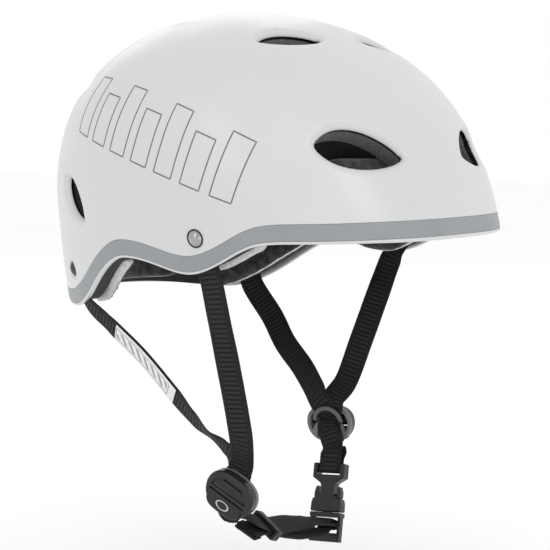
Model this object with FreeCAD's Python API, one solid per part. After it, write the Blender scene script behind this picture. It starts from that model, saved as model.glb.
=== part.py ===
import FreeCAD, Part
import math
import os

# Water-sports helmet with a vented hard shell, foam liner, comfort pads and a chin harness.
# Frame: +X is the wearer's left, -Y is the front, +Z is up.  X = 0 is the sagittal plane and
# z = 0 is the bottom edge of the front brim, level with the middle of the head cavity.

os.makedirs("parts", exist_ok=True)
V = FreeCAD.Vector

# ---------------------------------------------------------------- shell form
CROWN_Z = 122.0          # top of the dome
EAR_Y = 7.5              # widest cross-section of the dome
FRONT_REACH = 149.3      # from EAR_Y forward to the brow
FRONT_EQ_Z = -42.0       # height of the longest front section
FRONT_EXP = 1.87         # roundness of the brow profile
FRONT_TUCK = 1.0         # how the section shrinks below FRONT_EQ_Z
BACK_REACH = 133.2       # from EAR_Y back to the occiput
BACK_EQ_Z = 12.5
BACK_EXP = 1.84
BACK_TUCK = -0.26
HALF_WIDTH = 111.0
SIDE_EQ_Z = 48.0
SIDE_EXP = 2.28
SIDE_TUCK = 1.85
PLAN_EXP_FRONT = 2.67    # squareness of the plan outline ahead of the ears
PLAN_EXP_BACK = 1.97     # and behind them
DOME_FLOOR_Z = -70.0     # lofts start below every rim
TOP_FLAT = 0.9987        # share of the height where the crown cap closes the loft
RINGS = 17               # loft sections from floor to crown
RING_POINTS = 44         # points on each section

SHELL_T = 3.0            # hard shell
RECESS_DEPTH = 0.9       # step in the shell that takes the edge band
BAND_GAP = 0.05
BAND_LOW = 1.5           # white lip left below the band
BAND_HIGH = 10.4         # top of the band above the rim
LINER_OUT = 5.3          # inset of the liner's outer face, leaves room for the straps
LINER_IN = 15.0          # inset of the liner's inner face
LINER_LIFT = 3.0         # liner edge above the shell rim
PAD_GAP = 0.15
PAD_FOAM_IN = 23.0       # inset of the foam cores' inner face
PAD_IN = 24.2            # inset of the fabric facings' inner face

# rim line seen from the side: y and z of the shell's lower edge, brow to nape
RIM_LINE = ((-160.0, 0.3), (-140.0, 0.0), (-118.0, -1.0), (-98.0, -2.0), (-80.0, -3.0),
            (-70.0, -4.8), (-61.0, -8.6), (-50.0, -14.6), (-40.0, -19.3), (-32.0, -21.7),
            (-25.0, -22.3), (-17.0, -21.4), (-7.0, -19.3), (4.0, -17.2), (14.0, -16.4),
            (22.0, -17.0), (31.0, -20.3), (41.0, -26.3), (50.0, -32.8), (61.0, -41.0),
            (73.0, -48.0), (86.0, -52.6), (100.0, -53.6), (120.0, -51.6), (145.0, -50.0),
            (165.0, -49.5))

# vents: centre on the shell, direction of the long axis, half length, half height, blunt end
VENTS = {
    "front": ((-54.0, -105.5, 46.7), (-47.8, 22.4, 6.0), 26.5, 11.4, 0.22),
    "top_front": ((-41.0, -47.0, 105.5), (-43.8, 8.9, -3.0), 22.5, 6.8, 0.10),
    "top_rear": ((-40.0, 22.0, 116.0), (-43.8, -8.0, -5.0), 22.0, 6.8, 0.10),
    "upper_back": ((-68.0, 84.0, 80.0), (-60.0, -50.0, 0.0), 20.0, 8.0, 0.10),
    "rear_side": ((-97.5, 65.0, 13.0), (4.8, 16.5, 18.9), 15.0, 7.2, 0.12),
}
BACK_VENT = ((0.0, 139.0, 38.0), (1.0, 0.0, 0.0), 22.0, 8.0, 0.0)
VENT_TAPER = 0.32        # how pointed the ends of a vent are
DISH_MARGIN = 4.0        # width of the hollow that leads into a vent
DISH_DEPTH = 2.4

# rivets: y and z on the shell's side
EAR_RIVET = (-36.0, -2.0)
REAR_RIVET = (81.5, -29.4)
RIVET_HEAD_R = 4.6
RIVET_HEAD_H = 2.2
RIVET_SHANK_R = 2.0
RIVET_HOLE_R = 2.05
RIVET_TAIL_R = 3.4
WASHER_R = 6.5
WASHER_T = 1.0
REAR_CUP_R = 5.4
REAR_CUP_DEPTH = 1.1
STRAP_POCKET_R = 11.0

# webbing
STRAP_W = 15.0
STRAP_T = 1.2
LAYER_PITCH = 1.3        # distance between the middles of two stacked straps
STRAP_STEP = 5.0         # spacing of the sections of a strap
LABEL_W = 13.6
LABEL_T = 0.5

# strap divider, in its own frame: u along the strap's width, v up, n away from the head
RIGHT_DIVIDER = (-74.0, -38.5, -144.0)
LEFT_DIVIDER = (54.5, -8.0, -131.0)
DIV_HALF_W = 15.3
DIV_TOP_V = 11.6
PLATE_N = 1.2            # half thickness of the frame plate
TOP_BAR_V = 10.1
ARCH_TOP_V = 3.5
ARCH_LOW_V = 1.4
LOWER_BAR_V = -9.3
SLOT_HALF_W = 8.2
COVER_N = 7.0            # outer face of the cover
CAVITY_N = 4.2
LEVER_V = -3.5
LEVER_N = 5.6
LEVER_HUB_R = 1.65
LEVER_HALF_W = 11.6
LEVER_CUT_HALF_W = 11.95
COVER_EDGE_V = -1.1      # lower edge of the cover, clear of the lever's swing
ARCH_H = 10.2
GRIP_HALF_W = 6.5
GRIP_V = 4.6
LEVER_TOP_V = -2.2
LEVER_DROP = 6.4
LEVER_LOW_N = 4.45
LEVER_HIGH_N = 7.4
PIN_R = 0.8
PIN_BORE_R = 0.83
PIN_HALF_L = 13.2

# middle of the two stacked straps through a divider: v and n
WEAVE = ((24.0, -2.7), (16.5, -2.65), (11.8, -2.65), (9.7, -2.55), (8.5, -1.9), (6.8, 0.0),
         (5.2, 1.9), (3.9, 2.55), (2.5, 2.7), (0.9, 2.35), (-1.8, 1.1), (-4.2, -0.2),
         (-6.6, -1.6), (-8.7, -2.5), (-10.6, -2.65), (-12.8, -2.7))


# comfort pads: outlines seen from the side (y, z), or half sizes of the blocks
PAD_LIFT = 0.4           # pads stop this far above the rim line
SIDE_PAD_LINE = ((-60.0, -30.0), (-64.0, 6.0), (-56.0, 34.0), (20.0, 34.0), (28.0, 6.0),
                 (26.0, -30.0))
REAR_PAD_LINE = ((32.0, -30.0), (33.5, -19.8), (44.0, -18.0), (60.0, -20.5), (77.0, -28.5),
                 (93.0, -39.0), (94.5, -62.0), (40.0, -62.0))
FRONT_PAD_HALF_W = 58.0
FRONT_PAD_LOW = 4.5
FRONT_PAD_HIGH = 41.0
REAR_PAD_HALF_W = 36.5
REAR_PAD_LOW = -46.0
REAR_PAD_HIGH = -8.0
CROWN_PAD_HALF_W = 32.0
CROWN_PAD_HALF_L = 46.0
WASHER_DEPTH = 4.95      # top of the washer below the shell's outer face
STRAP_INSET = 4.1        # middle of a strap where it runs behind the shell

# harness routes: on the wall (y, z), then free points (x, y, z, outward normal)
RIGHT_FRONT_WALL = ((-35.5, 9.0), (-36.0, -2.0), (-37.5, -12.0), (-39.0, -21.0))
RIGHT_FRONT_FREE = ((-91.8, -42.0, -45.7, (-1.0, -0.12, -0.1)),
                    (-86.0, -43.7, -70.4, (-1.0, -0.2, -0.1)),
                    (-79.4, -45.2, -99.0, (-1.0, -0.2, -0.1)),
                    (-76.5, -45.6, -113.0, (-1.0, -0.2, 0.0)))
RIGHT_REAR_WALL = ((82.5, -19.0), (81.5, -29.4), (78.5, -40.0), (74.5, -49.5))
RIGHT_REAR_FREE = ((-73.5, 62.5, -59.0, (-0.90, 0.30, -0.30)),
                   (-72.5, 54.5, -64.6, (-0.93, 0.22, -0.30)),
                   (-72.0, 32.6, -78.2, (-0.93, 0.20, -0.30)),
                   (-72.0, 7.6, -96.8, (-0.93, 0.20, -0.30)),
                   (-71.6, -6.0, -107.6, (-0.86, 0.28, -0.40)),
                   (-71.0, -18.6, -115.6, (-0.66, 0.46, -0.58)),
                   (-70.4, -29.5, -121.0, (-0.82, 0.26, -0.42)),
                   (-70.0, -36.6, -126.6, (-0.95, -0.08, -0.18)))
LEFT_FRONT_WALL = ((-36.5, 9.0), (-36.0, -2.0), (-31.0, -12.0), (-25.5, -21.0))
LEFT_FRONT_FREE = ((95.3, -22.2, -31.0, (0.98, 0.20, 0.0)),
                   (85.4, -19.6, -53.7, (0.90, 0.42, 0.0)),
                   (75.1, -16.4, -78.8, (0.88, 0.45, 0.0)),
                   (63.6, -13.0, -105.0, (0.95, 0.30, 0.0)))
LEFT_REAR_WALL = ((82.5, -19.0), (81.5, -29.4), (79.0, -40.0), (76.0, -49.5))
LEFT_REAR_FREE = ((74.9, 56.5, -71.6, (0.86, 0.46, -0.22)),
                  (70.4, 42.0, -86.5, (0.88, 0.42, -0.24)),
                  (64.5, 22.5, -99.8, (0.90, 0.38, -0.22)),
                  (54.5, 4.5, -110.8, (0.94, 0.30, -0.15)),
                  (49.7, -3.0, -116.2, (0.97, 0.20, -0.05)))
BUCKLE_LOOP = ((7.0, -2.0, 0.0, 1.0), (3.0, -2.05, 0.0, 1.0), (-1.2, -2.05, 0.0, 1.0),
               (-3.6, -2.1, 0.0, 1.0), (-4.8, -1.7, 0.5, 0.8), (-5.4, -0.9, 0.9, 0.4),
               (-5.6, 0.0, 1.0, 0.0), (-5.4, 0.9, 0.9, -0.4), (-4.8, 1.7, 0.5, -0.8),
               (-3.6, 2.1, 0.0, -1.0), (-1.2, 2.05, 0.0, -1.0), (3.0, 2.05, 0.0, -1.0))
LOOP_RETURN = ((-17.5, -2.7), (-15.0, -3.0))
CHIN_MAIN = ((-66.9, -39.5, -159.2, (-0.82, 0.08, -0.56)),
             (-57.0, -39.6, -163.4, (-0.55, 0.35, -0.70)),
             (-50.0, -38.2, -166.2, (-0.42, 0.45, -0.75)),
             (-43.0, -36.8, -169.0, (-0.42, 0.45, -0.75)),
             (-36.0, -35.4, -171.8, (-0.42, 0.45, -0.75)),
             (-14.0, -29.8, -176.2, (-0.25, 0.45, -0.85)),
             (10.0, -25.4, -181.0, (-0.10, 0.25, -1.0)),
             (24.0, -23.2, -184.4, (-0.10, 0.15, -1.0)))
LOCK_WRAP = ((-34.6, -5.5, -1.0, 0.0), (-34.9, -2.2, -1.0, 0.0), (-35.0, 0.0, -1.0, -0.1),
             (-35.5, 1.5, -0.6, -0.7), (-36.5, 2.05, 0.0, -1.0), (-37.6, 2.1, 0.0, -1.0),
             (-38.7, 2.05, 0.0, -1.0), (-39.9, 1.5, 0.6, -0.7), (-40.6, 0.0, 1.0, -0.1),
             (-40.8, -2.2, 1.0, 0.0), (-41.2, -5.5, 1.0, 0.0))
CHIN_TAIL = ((24.0, -23.4, -190.4, (0.10, -0.15, 1.0)),
             (10.0, -25.6, -188.2, (0.10, -0.25, 1.0)),
             (-14.0, -30.0, -181.4, (0.25, -0.45, 0.85)),
             (-36.0, -35.4, -173.5, (0.42, -0.45, 0.75)),
             (-43.0, -36.8, -170.6, (0.42, -0.45, 0.75)),
             (-50.0, -38.2, -168.4, (0.38, -0.40, 0.80)),
             (-54.5, -38.8, -168.0, (0.30, -0.36, 0.86)),
             (-57.5, -39.2, -167.8, (0.26, -0.34, 0.88)))
# straps squeezed thinner where another one presses on them
PRESSED = {"right_rear_strap": ("right_front_strap", "chin_strap"),
           "left_rear_strap": ("left_front_strap",)}
PRESSED_POINTS = 18
PRESSED_GAP = 0.03
LABEL_SPAN = (5, 8)
FOLD_LEN = 8.0
FOLD_T = 3.6
FOLD_GAP = 0.6
RING_C = V(-43.0, -36.8, -169.85)
RING_T = V(0.919, 0.184, -0.348)
RING_N = V(-0.42, 0.45, -0.75)
RING_IN_W = 16.2
RING_IN_T = 3.7
RING_WALL = 1.6
RING_LEN = 6.5
RIGHT_YAW = 11.0
LEFT_YAW = 11.0
RIGHT_TILT = 27.0
LEFT_TILT = -3.0
BUCKLE_YAW = 8.0
BUCKLE_UP = (0.31, 0.145, 0.94)
FEMALE_HALF_T = 3.4
BAR_HALF_T = 1.3
FEMALE_HALF_LINE = ((11.0, 0.0), (11.0, -9.0), (8.6, -10.4), (5.2, -12.6), (4.4, -15.0),
                    (4.4, -18.0), (5.6, -20.2), (9.8, -22.2), (10.5, -25.0), (10.7, -30.0))
MOUTH_HALF_W = 8.45
MOUTH_HALF_T = 2.3
MOUTH_TOP_V = -18.6
PRONG_LINE = ((6.8, -29.3), (8.3, -29.3), (8.1, -21.5), (9.3, -21.35), (9.3, -18.0),
              (8.3, -14.6), (7.2, -14.2), (6.6, -16.5), (6.7, -22.0))
PRONG_HINGE_U = 7.55
PRONG_HINGE_V = -29.3
PRONG_HALF_T = 1.9
PRONG_FOOT_R = 0.75
LOCK_HALF_W = 10.6
LOCK_TOP_V = -30.45
LOCK_SHOULDER_V = -33.4
LOCK_RAIL_U = 8.7
LOCK_BAR_V = (-38.8, -36.3)
LOCK_PLATE_V = (-48.4, -43.0)

# side-release buckle, in its own frame: u along the width, v up, n away from the head
BUCKLE_TOP = (46.0, -16.6, -154.0)


# ---------------------------------------------------------------- dome maths
def reach_at(z, reach, eq_z, exponent, tuck, crown):
    """Half length or half width of the dome's section at one height."""
    if z < eq_z:
        return reach - tuck * (eq_z - z) ** 2 / 1000.0
    share = min((z - eq_z) / (crown - eq_z), 1.0)
    return reach * (1.0 - share ** exponent) ** (1.0 / exponent)


def dome_reaches(z, inset):
    crown = CROWN_Z - inset
    front = reach_at(z, FRONT_REACH - inset, FRONT_EQ_Z, FRONT_EXP, FRONT_TUCK, crown)
    back = reach_at(z, BACK_REACH - inset, BACK_EQ_Z, BACK_EXP, BACK_TUCK, crown)
    side = reach_at(z, HALF_WIDTH - inset, SIDE_EQ_Z, SIDE_EXP, SIDE_TUCK, crown)
    return front, back, side


def dome_x(y, z, inset=0.0):
    """Half width of the dome at a given y and z."""
    front, back, side = dome_reaches(z, inset)
    reach = front if y < EAR_Y else back
    power = PLAN_EXP_FRONT if y < EAR_Y else PLAN_EXP_BACK
    share = min(abs(y - EAR_Y) / reach, 1.0)
    return side * (1.0 - share ** power) ** (1.0 / power)


def dome_value(p, inset=0.0):
    front, back, side = dome_reaches(p.z, inset)
    reach = front if p.y < EAR_Y else back
    power = PLAN_EXP_FRONT if p.y < EAR_Y else PLAN_EXP_BACK
    if min(reach, side) < 1e-6:
        return 1.0
    return (abs(p.x) / side) ** power + (abs(p.y - EAR_Y) / reach) ** power - 1.0


def dome_normal(p, inset=0.0):
    """Outward unit normal from central differences."""
    h = 0.05
    parts = []
    for step in (V(h, 0, 0), V(0, h, 0), V(0, 0, h)):
        parts.append(dome_value(p + step, inset) - dome_value(p - step, inset))
    n = V(*parts)
    n.normalize()
    return n


def onto_dome(p, inset=0.0):
    """Moves a point along the ray from inside the head until it lies on the dome."""
    hub = V(0, EAR_Y, 20.0)
    ray = p - hub
    low = 0.3
    high = 1.6
    for _ in range(50):
        mid = (low + high) / 2.0
        if dome_value(hub + ray * mid, inset) < 0.0:
            low = mid
        else:
            high = mid
    return hub + ray * low


# ---------------------------------------------------------------- shape helpers
def outward(solid):
    """The same solid with its faces looking outward."""
    if solid.Volume < 0.0:
        solid.reverse()
    return solid


def closed_spline(points):
    curve = Part.BSplineCurve()
    curve.interpolate(Points=points, PeriodicFlag=True)
    return Part.Wire([curve.toShape()])


def polygon(points):
    return Part.Wire(Part.makePolygon(list(points) + [points[0]]).Edges)


def dome_section(z, inset):
    front, back, side = dome_reaches(z, inset)
    points = []
    for i in range(RING_POINTS):
        angle = 2.0 * math.pi * (i + 0.5) / RING_POINTS
        c = math.cos(angle)
        s = math.sin(angle)
        reach = front if c > 0 else back
        power = PLAN_EXP_FRONT if c > 0 else PLAN_EXP_BACK
        x = side * math.copysign(abs(s) ** (2.0 / power), s)
        y = EAR_Y - reach * math.copysign(abs(c) ** (2.0 / power), c)
        points.append(V(x, y, z))
    return closed_spline(points)


def dome_solid(inset):
    crown = CROWN_Z - inset
    top = BACK_EQ_Z + (crown - BACK_EQ_Z) * TOP_FLAT
    last = math.asin((top - DOME_FLOOR_Z) / (crown - DOME_FLOOR_Z))
    wires = []
    for i in range(RINGS):
        z = DOME_FLOOR_Z + (crown - DOME_FLOOR_Z) * math.sin(last * i / (RINGS - 1))
        wires.append(dome_section(z, inset))
    return Part.makeLoft(wires, True, False)


def rim_slab(low, high):
    """Everything between two offsets of the rim line; high None means to above the crown."""
    start = [V(-160.0, y, z + low) for y, z in RIM_LINE]
    lower = Part.BSplineCurve()
    lower.interpolate(Points=start)
    edges = [lower.toShape()]
    if high is None:
        a = V(-160.0, RIM_LINE[-1][0], CROWN_Z + 20.0)
        b = V(-160.0, RIM_LINE[0][0], CROWN_Z + 20.0)
        edges.append(Part.makeLine(start[-1], a))
        edges.append(Part.makeLine(a, b))
        edges.append(Part.makeLine(b, start[0]))
    else:
        finish = [V(-160.0, y, z + high) for y, z in RIM_LINE]
        upper = Part.BSplineCurve()
        upper.interpolate(Points=finish)
        edges.append(Part.makeLine(start[-1], finish[-1]))
        edges.append(upper.toShape())
        edges.append(Part.makeLine(finish[0], start[0]))
    face = Part.Face(Part.Wire(Part.__sortEdges__(edges)))
    return outward(face.extrude(V(320.0, 0, 0)))


def local_axes(centre, along):
    n = dome_normal(centre)
    a = V(*along)
    a = a - n * a.dot(n)
    a.normalize()
    return n, a, n.cross(a)


def vent_outline(centre, a_dir, b_dir, half_a, half_b, blunt, grow):
    points = []
    count = 36
    for i in range(count):
        angle = 2.0 * math.pi * i / count
        c = math.cos(angle)
        s = math.sin(angle)
        a = (half_a + grow) * c
        b = (half_b + grow) * s * (abs(s) ** VENT_TAPER) * (1.0 + blunt * c)
        points.append(centre + a_dir * a + b_dir * b)
    return closed_spline(points)


def vent_tools(vent, mirror):
    centre, along, half_a, half_b, blunt = vent
    side = -1.0 if mirror else 1.0
    centre = onto_dome(V(centre[0] * side, centre[1], centre[2]))
    n, a_dir, b_dir = local_axes(centre, (along[0] * side, along[1], along[2]))
    inner = vent_outline(centre - n * 45.0, a_dir, b_dir, half_a, half_b, blunt, 0.0)
    hole = outward(Part.Face(inner).extrude(n * 60.0))
    deep = vent_outline(centre - n * DISH_DEPTH, a_dir, b_dir, half_a, half_b, blunt, 0.0)
    wide = vent_outline(centre + n * 1.6, a_dir, b_dir, half_a, half_b, blunt, DISH_MARGIN)
    dish = outward(Part.makeLoft([deep, wide], True, False))
    return hole, dish


def all_vents():
    holes = []
    dishes = []
    for vent in VENTS.values():
        for mirror in (False, True):
            hole, dish = vent_tools(vent, mirror)
            holes.append(hole)
            dishes.append(dish)
    hole, dish = vent_tools(BACK_VENT, False)
    holes.append(hole)
    dishes.append(dish)
    return holes, dishes


def rivet_axis(spot, side):
    y, z = spot
    p = V(side * dome_x(y, z), y, z)
    return p, dome_normal(p)


def disc(p, n, radius, start, end):
    """Cylinder about the line p + n*t, from t = start to t = end."""
    return Part.makeCylinder(radius, end - start, p + n * start, n)


def save(shape, name):
    if shape.ShapeType == "Compound" and len(shape.Solids) == 1:
        shape = shape.Solids[0]
    shape.exportStep("parts/" + name + ".step")
    box = shape.BoundBox
    print("%-26s solids %d valid %s volume %9.1f  x %.1f..%.1f y %.1f..%.1f z %.1f..%.1f" % (
        name, len(shape.Solids), shape.isValid(), shape.Volume,
        box.XMin, box.XMax, box.YMin, box.YMax, box.ZMin, box.ZMax))


def largest(shape):
    return max(shape.Solids, key=lambda s: s.Volume)


# ---------------------------------------------------------------- shell, band, liner
def build_shell_parts():
    outer = dome_solid(0.0)
    above = rim_slab(0.0, None)
    holes, dishes = all_vents()
    shell = outer.cut(dome_solid(SHELL_T)).common(above)
    band = outer.cut(dome_solid(RECESS_DEPTH)).common(rim_slab(BAND_LOW, BAND_HIGH))
    recess = outer.cut(dome_solid(RECESS_DEPTH + BAND_GAP))
    shell = shell.cut(recess.common(rim_slab(BAND_LOW - BAND_GAP, BAND_HIGH + BAND_GAP)))
    shell = shell.cut(holes + dishes)
    drills = []
    for side in (-1.0, 1.0):
        p, n = rivet_axis(EAR_RIVET, side)
        drills.append(disc(p, n, RIVET_HOLE_R, -20.0, 6.0))
        p, n = rivet_axis(REAR_RIVET, side)
        drills.append(disc(p, n, RIVET_HOLE_R, -20.0, 6.0))
        drills.append(disc(p, n, REAR_CUP_R, -REAR_CUP_DEPTH, 6.0))
    shell = shell.cut(drills)
    save(largest(shell), "outer_shell")
    save(largest(band), "edge_band")

    liner = dome_solid(LINER_OUT).cut(dome_solid(LINER_IN)).common(rim_slab(LINER_LIFT, None))
    pockets = []
    for side in (-1.0, 1.0):
        for spot in (EAR_RIVET, REAR_RIVET):
            p, n = rivet_axis(spot, side)
            pockets.append(disc(p, n, STRAP_POCKET_R, -LINER_OUT - 3.2, -LINER_OUT + 2.0))
    liner = liner.cut(holes + pockets)
    save(largest(liner), "foam_liner")
    return holes



# ---------------------------------------------------------------- comfort pads
def yz_block(points, side):
    """Prism of a y, z outline on one side of the head."""
    wire = polygon([V(0.0, y, z) for y, z in points])
    return outward(Part.Face(wire).extrude(V(side * 160.0, 0, 0)))


def xz_block(half_w, low, high, corner, sign):
    """Rounded upright block that reaches from the middle of the head forward or back."""
    box = Part.makeBox(2 * half_w, 160.0, high - low, V(-half_w, 0.0 if sign > 0 else -160.0, low))
    edges = [e for e in box.Edges if abs(abs(e.tangentAt(e.FirstParameter).y) - 1.0) < 1e-6]
    return box.makeFillet(corner, edges)


def build_pads():
    foam_layer = dome_solid(LINER_IN + PAD_GAP).cut(dome_solid(PAD_FOAM_IN))
    face_layer = dome_solid(PAD_FOAM_IN + 0.03).cut(dome_solid(PAD_IN))
    near_rim = rim_slab(PAD_LIFT, None)
    crown = Part.makeBox(2 * CROWN_PAD_HALF_W, 2 * CROWN_PAD_HALF_L, 90.0,
                         V(-CROWN_PAD_HALF_W, EAR_Y - CROWN_PAD_HALF_L, 50.0))
    uprights = [e for e in crown.Edges if abs(abs(e.tangentAt(e.FirstParameter).z) - 1.0) < 1e-6]
    zones = {
        "front_pad": xz_block(FRONT_PAD_HALF_W, FRONT_PAD_LOW, FRONT_PAD_HIGH, 9.0, -1),
        "rear_centre_pad": xz_block(REAR_PAD_HALF_W, REAR_PAD_LOW, REAR_PAD_HIGH, 7.0, 1),
        "crown_pad": crown.makeFillet(12.0, uprights),
    }
    for name, side in (("right", -1.0), ("left", 1.0)):
        zones[name + "_side_pad"] = yz_block(SIDE_PAD_LINE, side).common(near_rim)
        zones[name + "_rear_pad"] = yz_block(REAR_PAD_LINE, side).common(near_rim)
    for name, zone in zones.items():
        save(largest(foam_layer.common(zone)), name + "_foam")
        save(largest(face_layer.common(zone)), name + "_fabric")


# ---------------------------------------------------------------- rivets
def build_rivets():
    for name, spot in (("ear", EAR_RIVET), ("rear", REAR_RIVET)):
        for side_name, side in (("right", -1.0), ("left", 1.0)):
            p, n = rivet_axis(spot, side)
            seat = 0.05 if name == "ear" else 0.05 - REAR_CUP_DEPTH
            ball_r = (RIVET_HEAD_R ** 2 + RIVET_HEAD_H ** 2) / (2.0 * RIVET_HEAD_H)
            ball = Part.makeSphere(ball_r, p + n * (seat + RIVET_HEAD_H - ball_r))
            head = ball.common(disc(p, n, RIVET_HEAD_R + 1.0, seat, seat + RIVET_HEAD_H + 1.0))
            shank = disc(p, n, RIVET_SHANK_R, -WASHER_DEPTH - WASHER_T - 0.1, seat + 0.4)
            tail = disc(p, n, RIVET_TAIL_R, -WASHER_DEPTH - WASHER_T - 0.9,
                        -WASHER_DEPTH - WASHER_T - 0.05)
            save(head.fuse([shank, tail]).removeSplitter(), "%s_%s_rivet" % (side_name, name))
            washer = disc(p, n, WASHER_R, -WASHER_DEPTH - WASHER_T, -WASHER_DEPTH)
            washer = washer.cut(disc(p, n, RIVET_HOLE_R, -20.0, 5.0))
            save(washer, "%s_%s_washer" % (side_name, name))


# ---------------------------------------------------------------- straps
def catmull(points, step):
    """Smooth path through control points (position, normal), sampled about every step mm."""
    ends = [(points[0][0] * 2 - points[1][0], points[0][1])]
    ends += list(points)
    ends.append((points[-1][0] * 2 - points[-2][0], points[-1][1]))
    samples = []
    for i in range(1, len(ends) - 2):
        p0, p1, p2, p3 = [ends[i + k][0] for k in (-1, 0, 1, 2)]
        d1 = max((p1 - p0).Length, 1e-6) ** 0.5
        d2 = max((p2 - p1).Length, 1e-6) ** 0.5
        d3 = max((p3 - p2).Length, 1e-6) ** 0.5
        m1 = (p1 - p0) * (1.0 / d1) - (p2 - p0) * (1.0 / (d1 + d2)) + (p2 - p1) * (1.0 / d2)
        m2 = (p2 - p1) * (1.0 / d2) - (p3 - p1) * (1.0 / (d2 + d3)) + (p3 - p2) * (1.0 / d3)
        m1 = m1 * d2
        m2 = m2 * d2
        count = max(1, int(math.ceil((p2 - p1).Length / step)))
        for k in range(count):
            t = k / float(count)
            a = 2 * t ** 3 - 3 * t ** 2 + 1
            b = t ** 3 - 2 * t ** 2 + t
            c = -2 * t ** 3 + 3 * t ** 2
            d = t ** 3 - t ** 2
            ease = t * t * (3 - 2 * t)
            normal = ends[i][1] * (1 - ease) + ends[i + 1][1] * ease
            samples.append((p1 * a + m1 * b + p2 * c + m2 * d, normal))
    samples.append(points[-1])
    return samples


def strap_frames(points, step):
    samples = catmull(points, step)
    frames = []
    for i, (p, normal) in enumerate(samples):
        before = samples[max(i - 1, 0)][0]
        after = samples[min(i + 1, len(samples) - 1)][0]
        t = after - before
        t.normalize()
        n = normal - t * normal.dot(t)
        n.normalize()
        frames.append((p, t, n, n.cross(t)))
    return frames


def strap_solid(points, width=STRAP_W, thick=STRAP_T, offset=0.0, step=STRAP_STEP):
    wires = []
    for p, t, n, w in strap_frames(points, step):
        mid = p + n * offset
        corners = []
        for a, b in ((-1, -1), (1, -1), (1, 1), (-1, 1)):
            corners.append(mid + w * (a * width / 2.0) + n * (b * thick / 2.0))
        wires.append(polygon(corners))
    return outward(Part.makeLoft(wires, True, True))


def on_wall(y, z, side):
    """Strap point between the shell and the liner, with the wall's normal."""
    p = V(side * dome_x(y, z, STRAP_INSET), y, z)
    return p, dome_normal(p, STRAP_INSET)


def free(x, y, z, n):
    normal = V(*n)
    normal.normalize()
    return V(x, y, z), normal


class Frame:
    """Local axes of a strap fitting: u across the strap, v up it, n away from the head."""

    def __init__(self, centre, yaw, tilt, outward_sign, lean=None):
        self.c = V(*centre)
        yaw = math.radians(yaw)
        tilt = math.radians(tilt) * outward_sign
        self.n = V(outward_sign * math.cos(yaw), outward_sign * math.sin(yaw), 0)
        level = V(0, 0, 1).cross(self.n)
        self.u = level * math.cos(tilt) + V(0, 0, 1) * math.sin(tilt)
        self.v = self.n.cross(self.u)
        if lean is not None:
            self.v = V(*lean)
            self.v.normalize()
            self.n = self.n - self.v * self.n.dot(self.v)
            self.n.normalize()
            self.u = self.v.cross(self.n)

    def at(self, u, v, n):
        return self.c + self.u * u + self.v * v + self.n * n

    def place(self, shape):
        """Carries a shape drawn with u, v, n as x, y, z into this frame."""
        m = FreeCAD.Matrix(self.u.x, self.v.x, self.n.x, self.c.x,
                           self.u.y, self.v.y, self.n.y, self.c.y,
                           self.u.z, self.v.z, self.n.z, self.c.z,
                           0, 0, 0, 1)
        moved = shape.copy()
        moved.transformShape(m, True)
        return moved


RIGHT = Frame(RIGHT_DIVIDER, RIGHT_YAW, RIGHT_TILT, -1.0)
LEFT = Frame(LEFT_DIVIDER, LEFT_YAW, LEFT_TILT, 1.0)
BUCKLE = Frame(BUCKLE_TOP, BUCKLE_YAW, 0.0, 1.0, BUCKLE_UP)


def weave(frame, first, last):
    """Control points of the strap stack's middle through a divider."""
    return [(frame.at(0, v, n), frame.n) for v, n in WEAVE if last <= v <= first]


def shift(points, frame, offset):
    """Moves a weave sideways by a stack offset, square to its own path."""
    moved = []
    for p, t, n, w in strap_frames(points, 1000.0):
        moved.append((p + n * offset, frame.n))
    return moved


def harness_paths():
    half = LAYER_PITCH / 2.0
    paths = {}
    paths["right_front_strap"] = (
        [on_wall(y, z, -1.0) for y, z in RIGHT_FRONT_WALL]
        + [free(*p) for p in RIGHT_FRONT_FREE]
        + shift(weave(RIGHT, 16.5, -8.7), RIGHT, half))
    paths["right_rear_strap"] = (
        [on_wall(y, z, -1.0) for y, z in RIGHT_REAR_WALL]
        + [free(*p) for p in RIGHT_REAR_FREE]
        + shift(weave(RIGHT, 11.8, -8.7), RIGHT, -half))
    paths["left_front_strap"] = (
        [on_wall(y, z, 1.0) for y, z in LEFT_FRONT_WALL]
        + [free(*p) for p in LEFT_FRONT_FREE]
        + shift(weave(LEFT, 16.5, -12.8), LEFT, half))
    paths["left_rear_strap"] = (
        [on_wall(y, z, 1.0) for y, z in LEFT_REAR_WALL]
        + [free(*p) for p in LEFT_REAR_FREE]
        + shift(weave(LEFT, 11.8, -12.8), LEFT, -half))
    lower = shift(weave(LEFT, 0.9, -12.8), LEFT, -3.0 * half)
    loop = []
    for v, n, nv, nn in BUCKLE_LOOP:
        loop.append((BUCKLE.at(0, v, n), BUCKLE.v * nv + BUCKLE.n * nn))
    back = [(LEFT.at(0, v, n), -LEFT.n) for v, n in LOOP_RETURN]
    paths["buckle_strap"] = lower + loop + back
    chin = shift(weave(RIGHT, 0.9, -12.8), RIGHT, -3.0 * half)
    chin += [free(*p) for p in CHIN_MAIN]
    for v, n, nv, nn in LOCK_WRAP:
        chin.append((BUCKLE.at(0, v, n), BUCKLE.v * nv + BUCKLE.n * nn))
    chin += [free(*p) for p in CHIN_TAIL]
    paths["chin_strap"] = chin
    return paths


def along_ring(edge):
    run = edge.Vertexes[-1].Point - edge.Vertexes[0].Point
    return run.Length > 0.1 and abs(abs(run.dot(RING_T)) - run.Length) < 0.02


def round_edges(solid, radius, chooser):
    """Fillets the chosen edges, or leaves them sharp where no fillet fits."""
    edges = [e for e in solid.Edges if chooser(e)]
    try:
        rounded = solid.makeFillet(radius, edges)
    except Exception:
        return solid
    if rounded.isNull() or not rounded.isValid() or rounded.Volume <= 0.0:
        return solid
    return rounded


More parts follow.
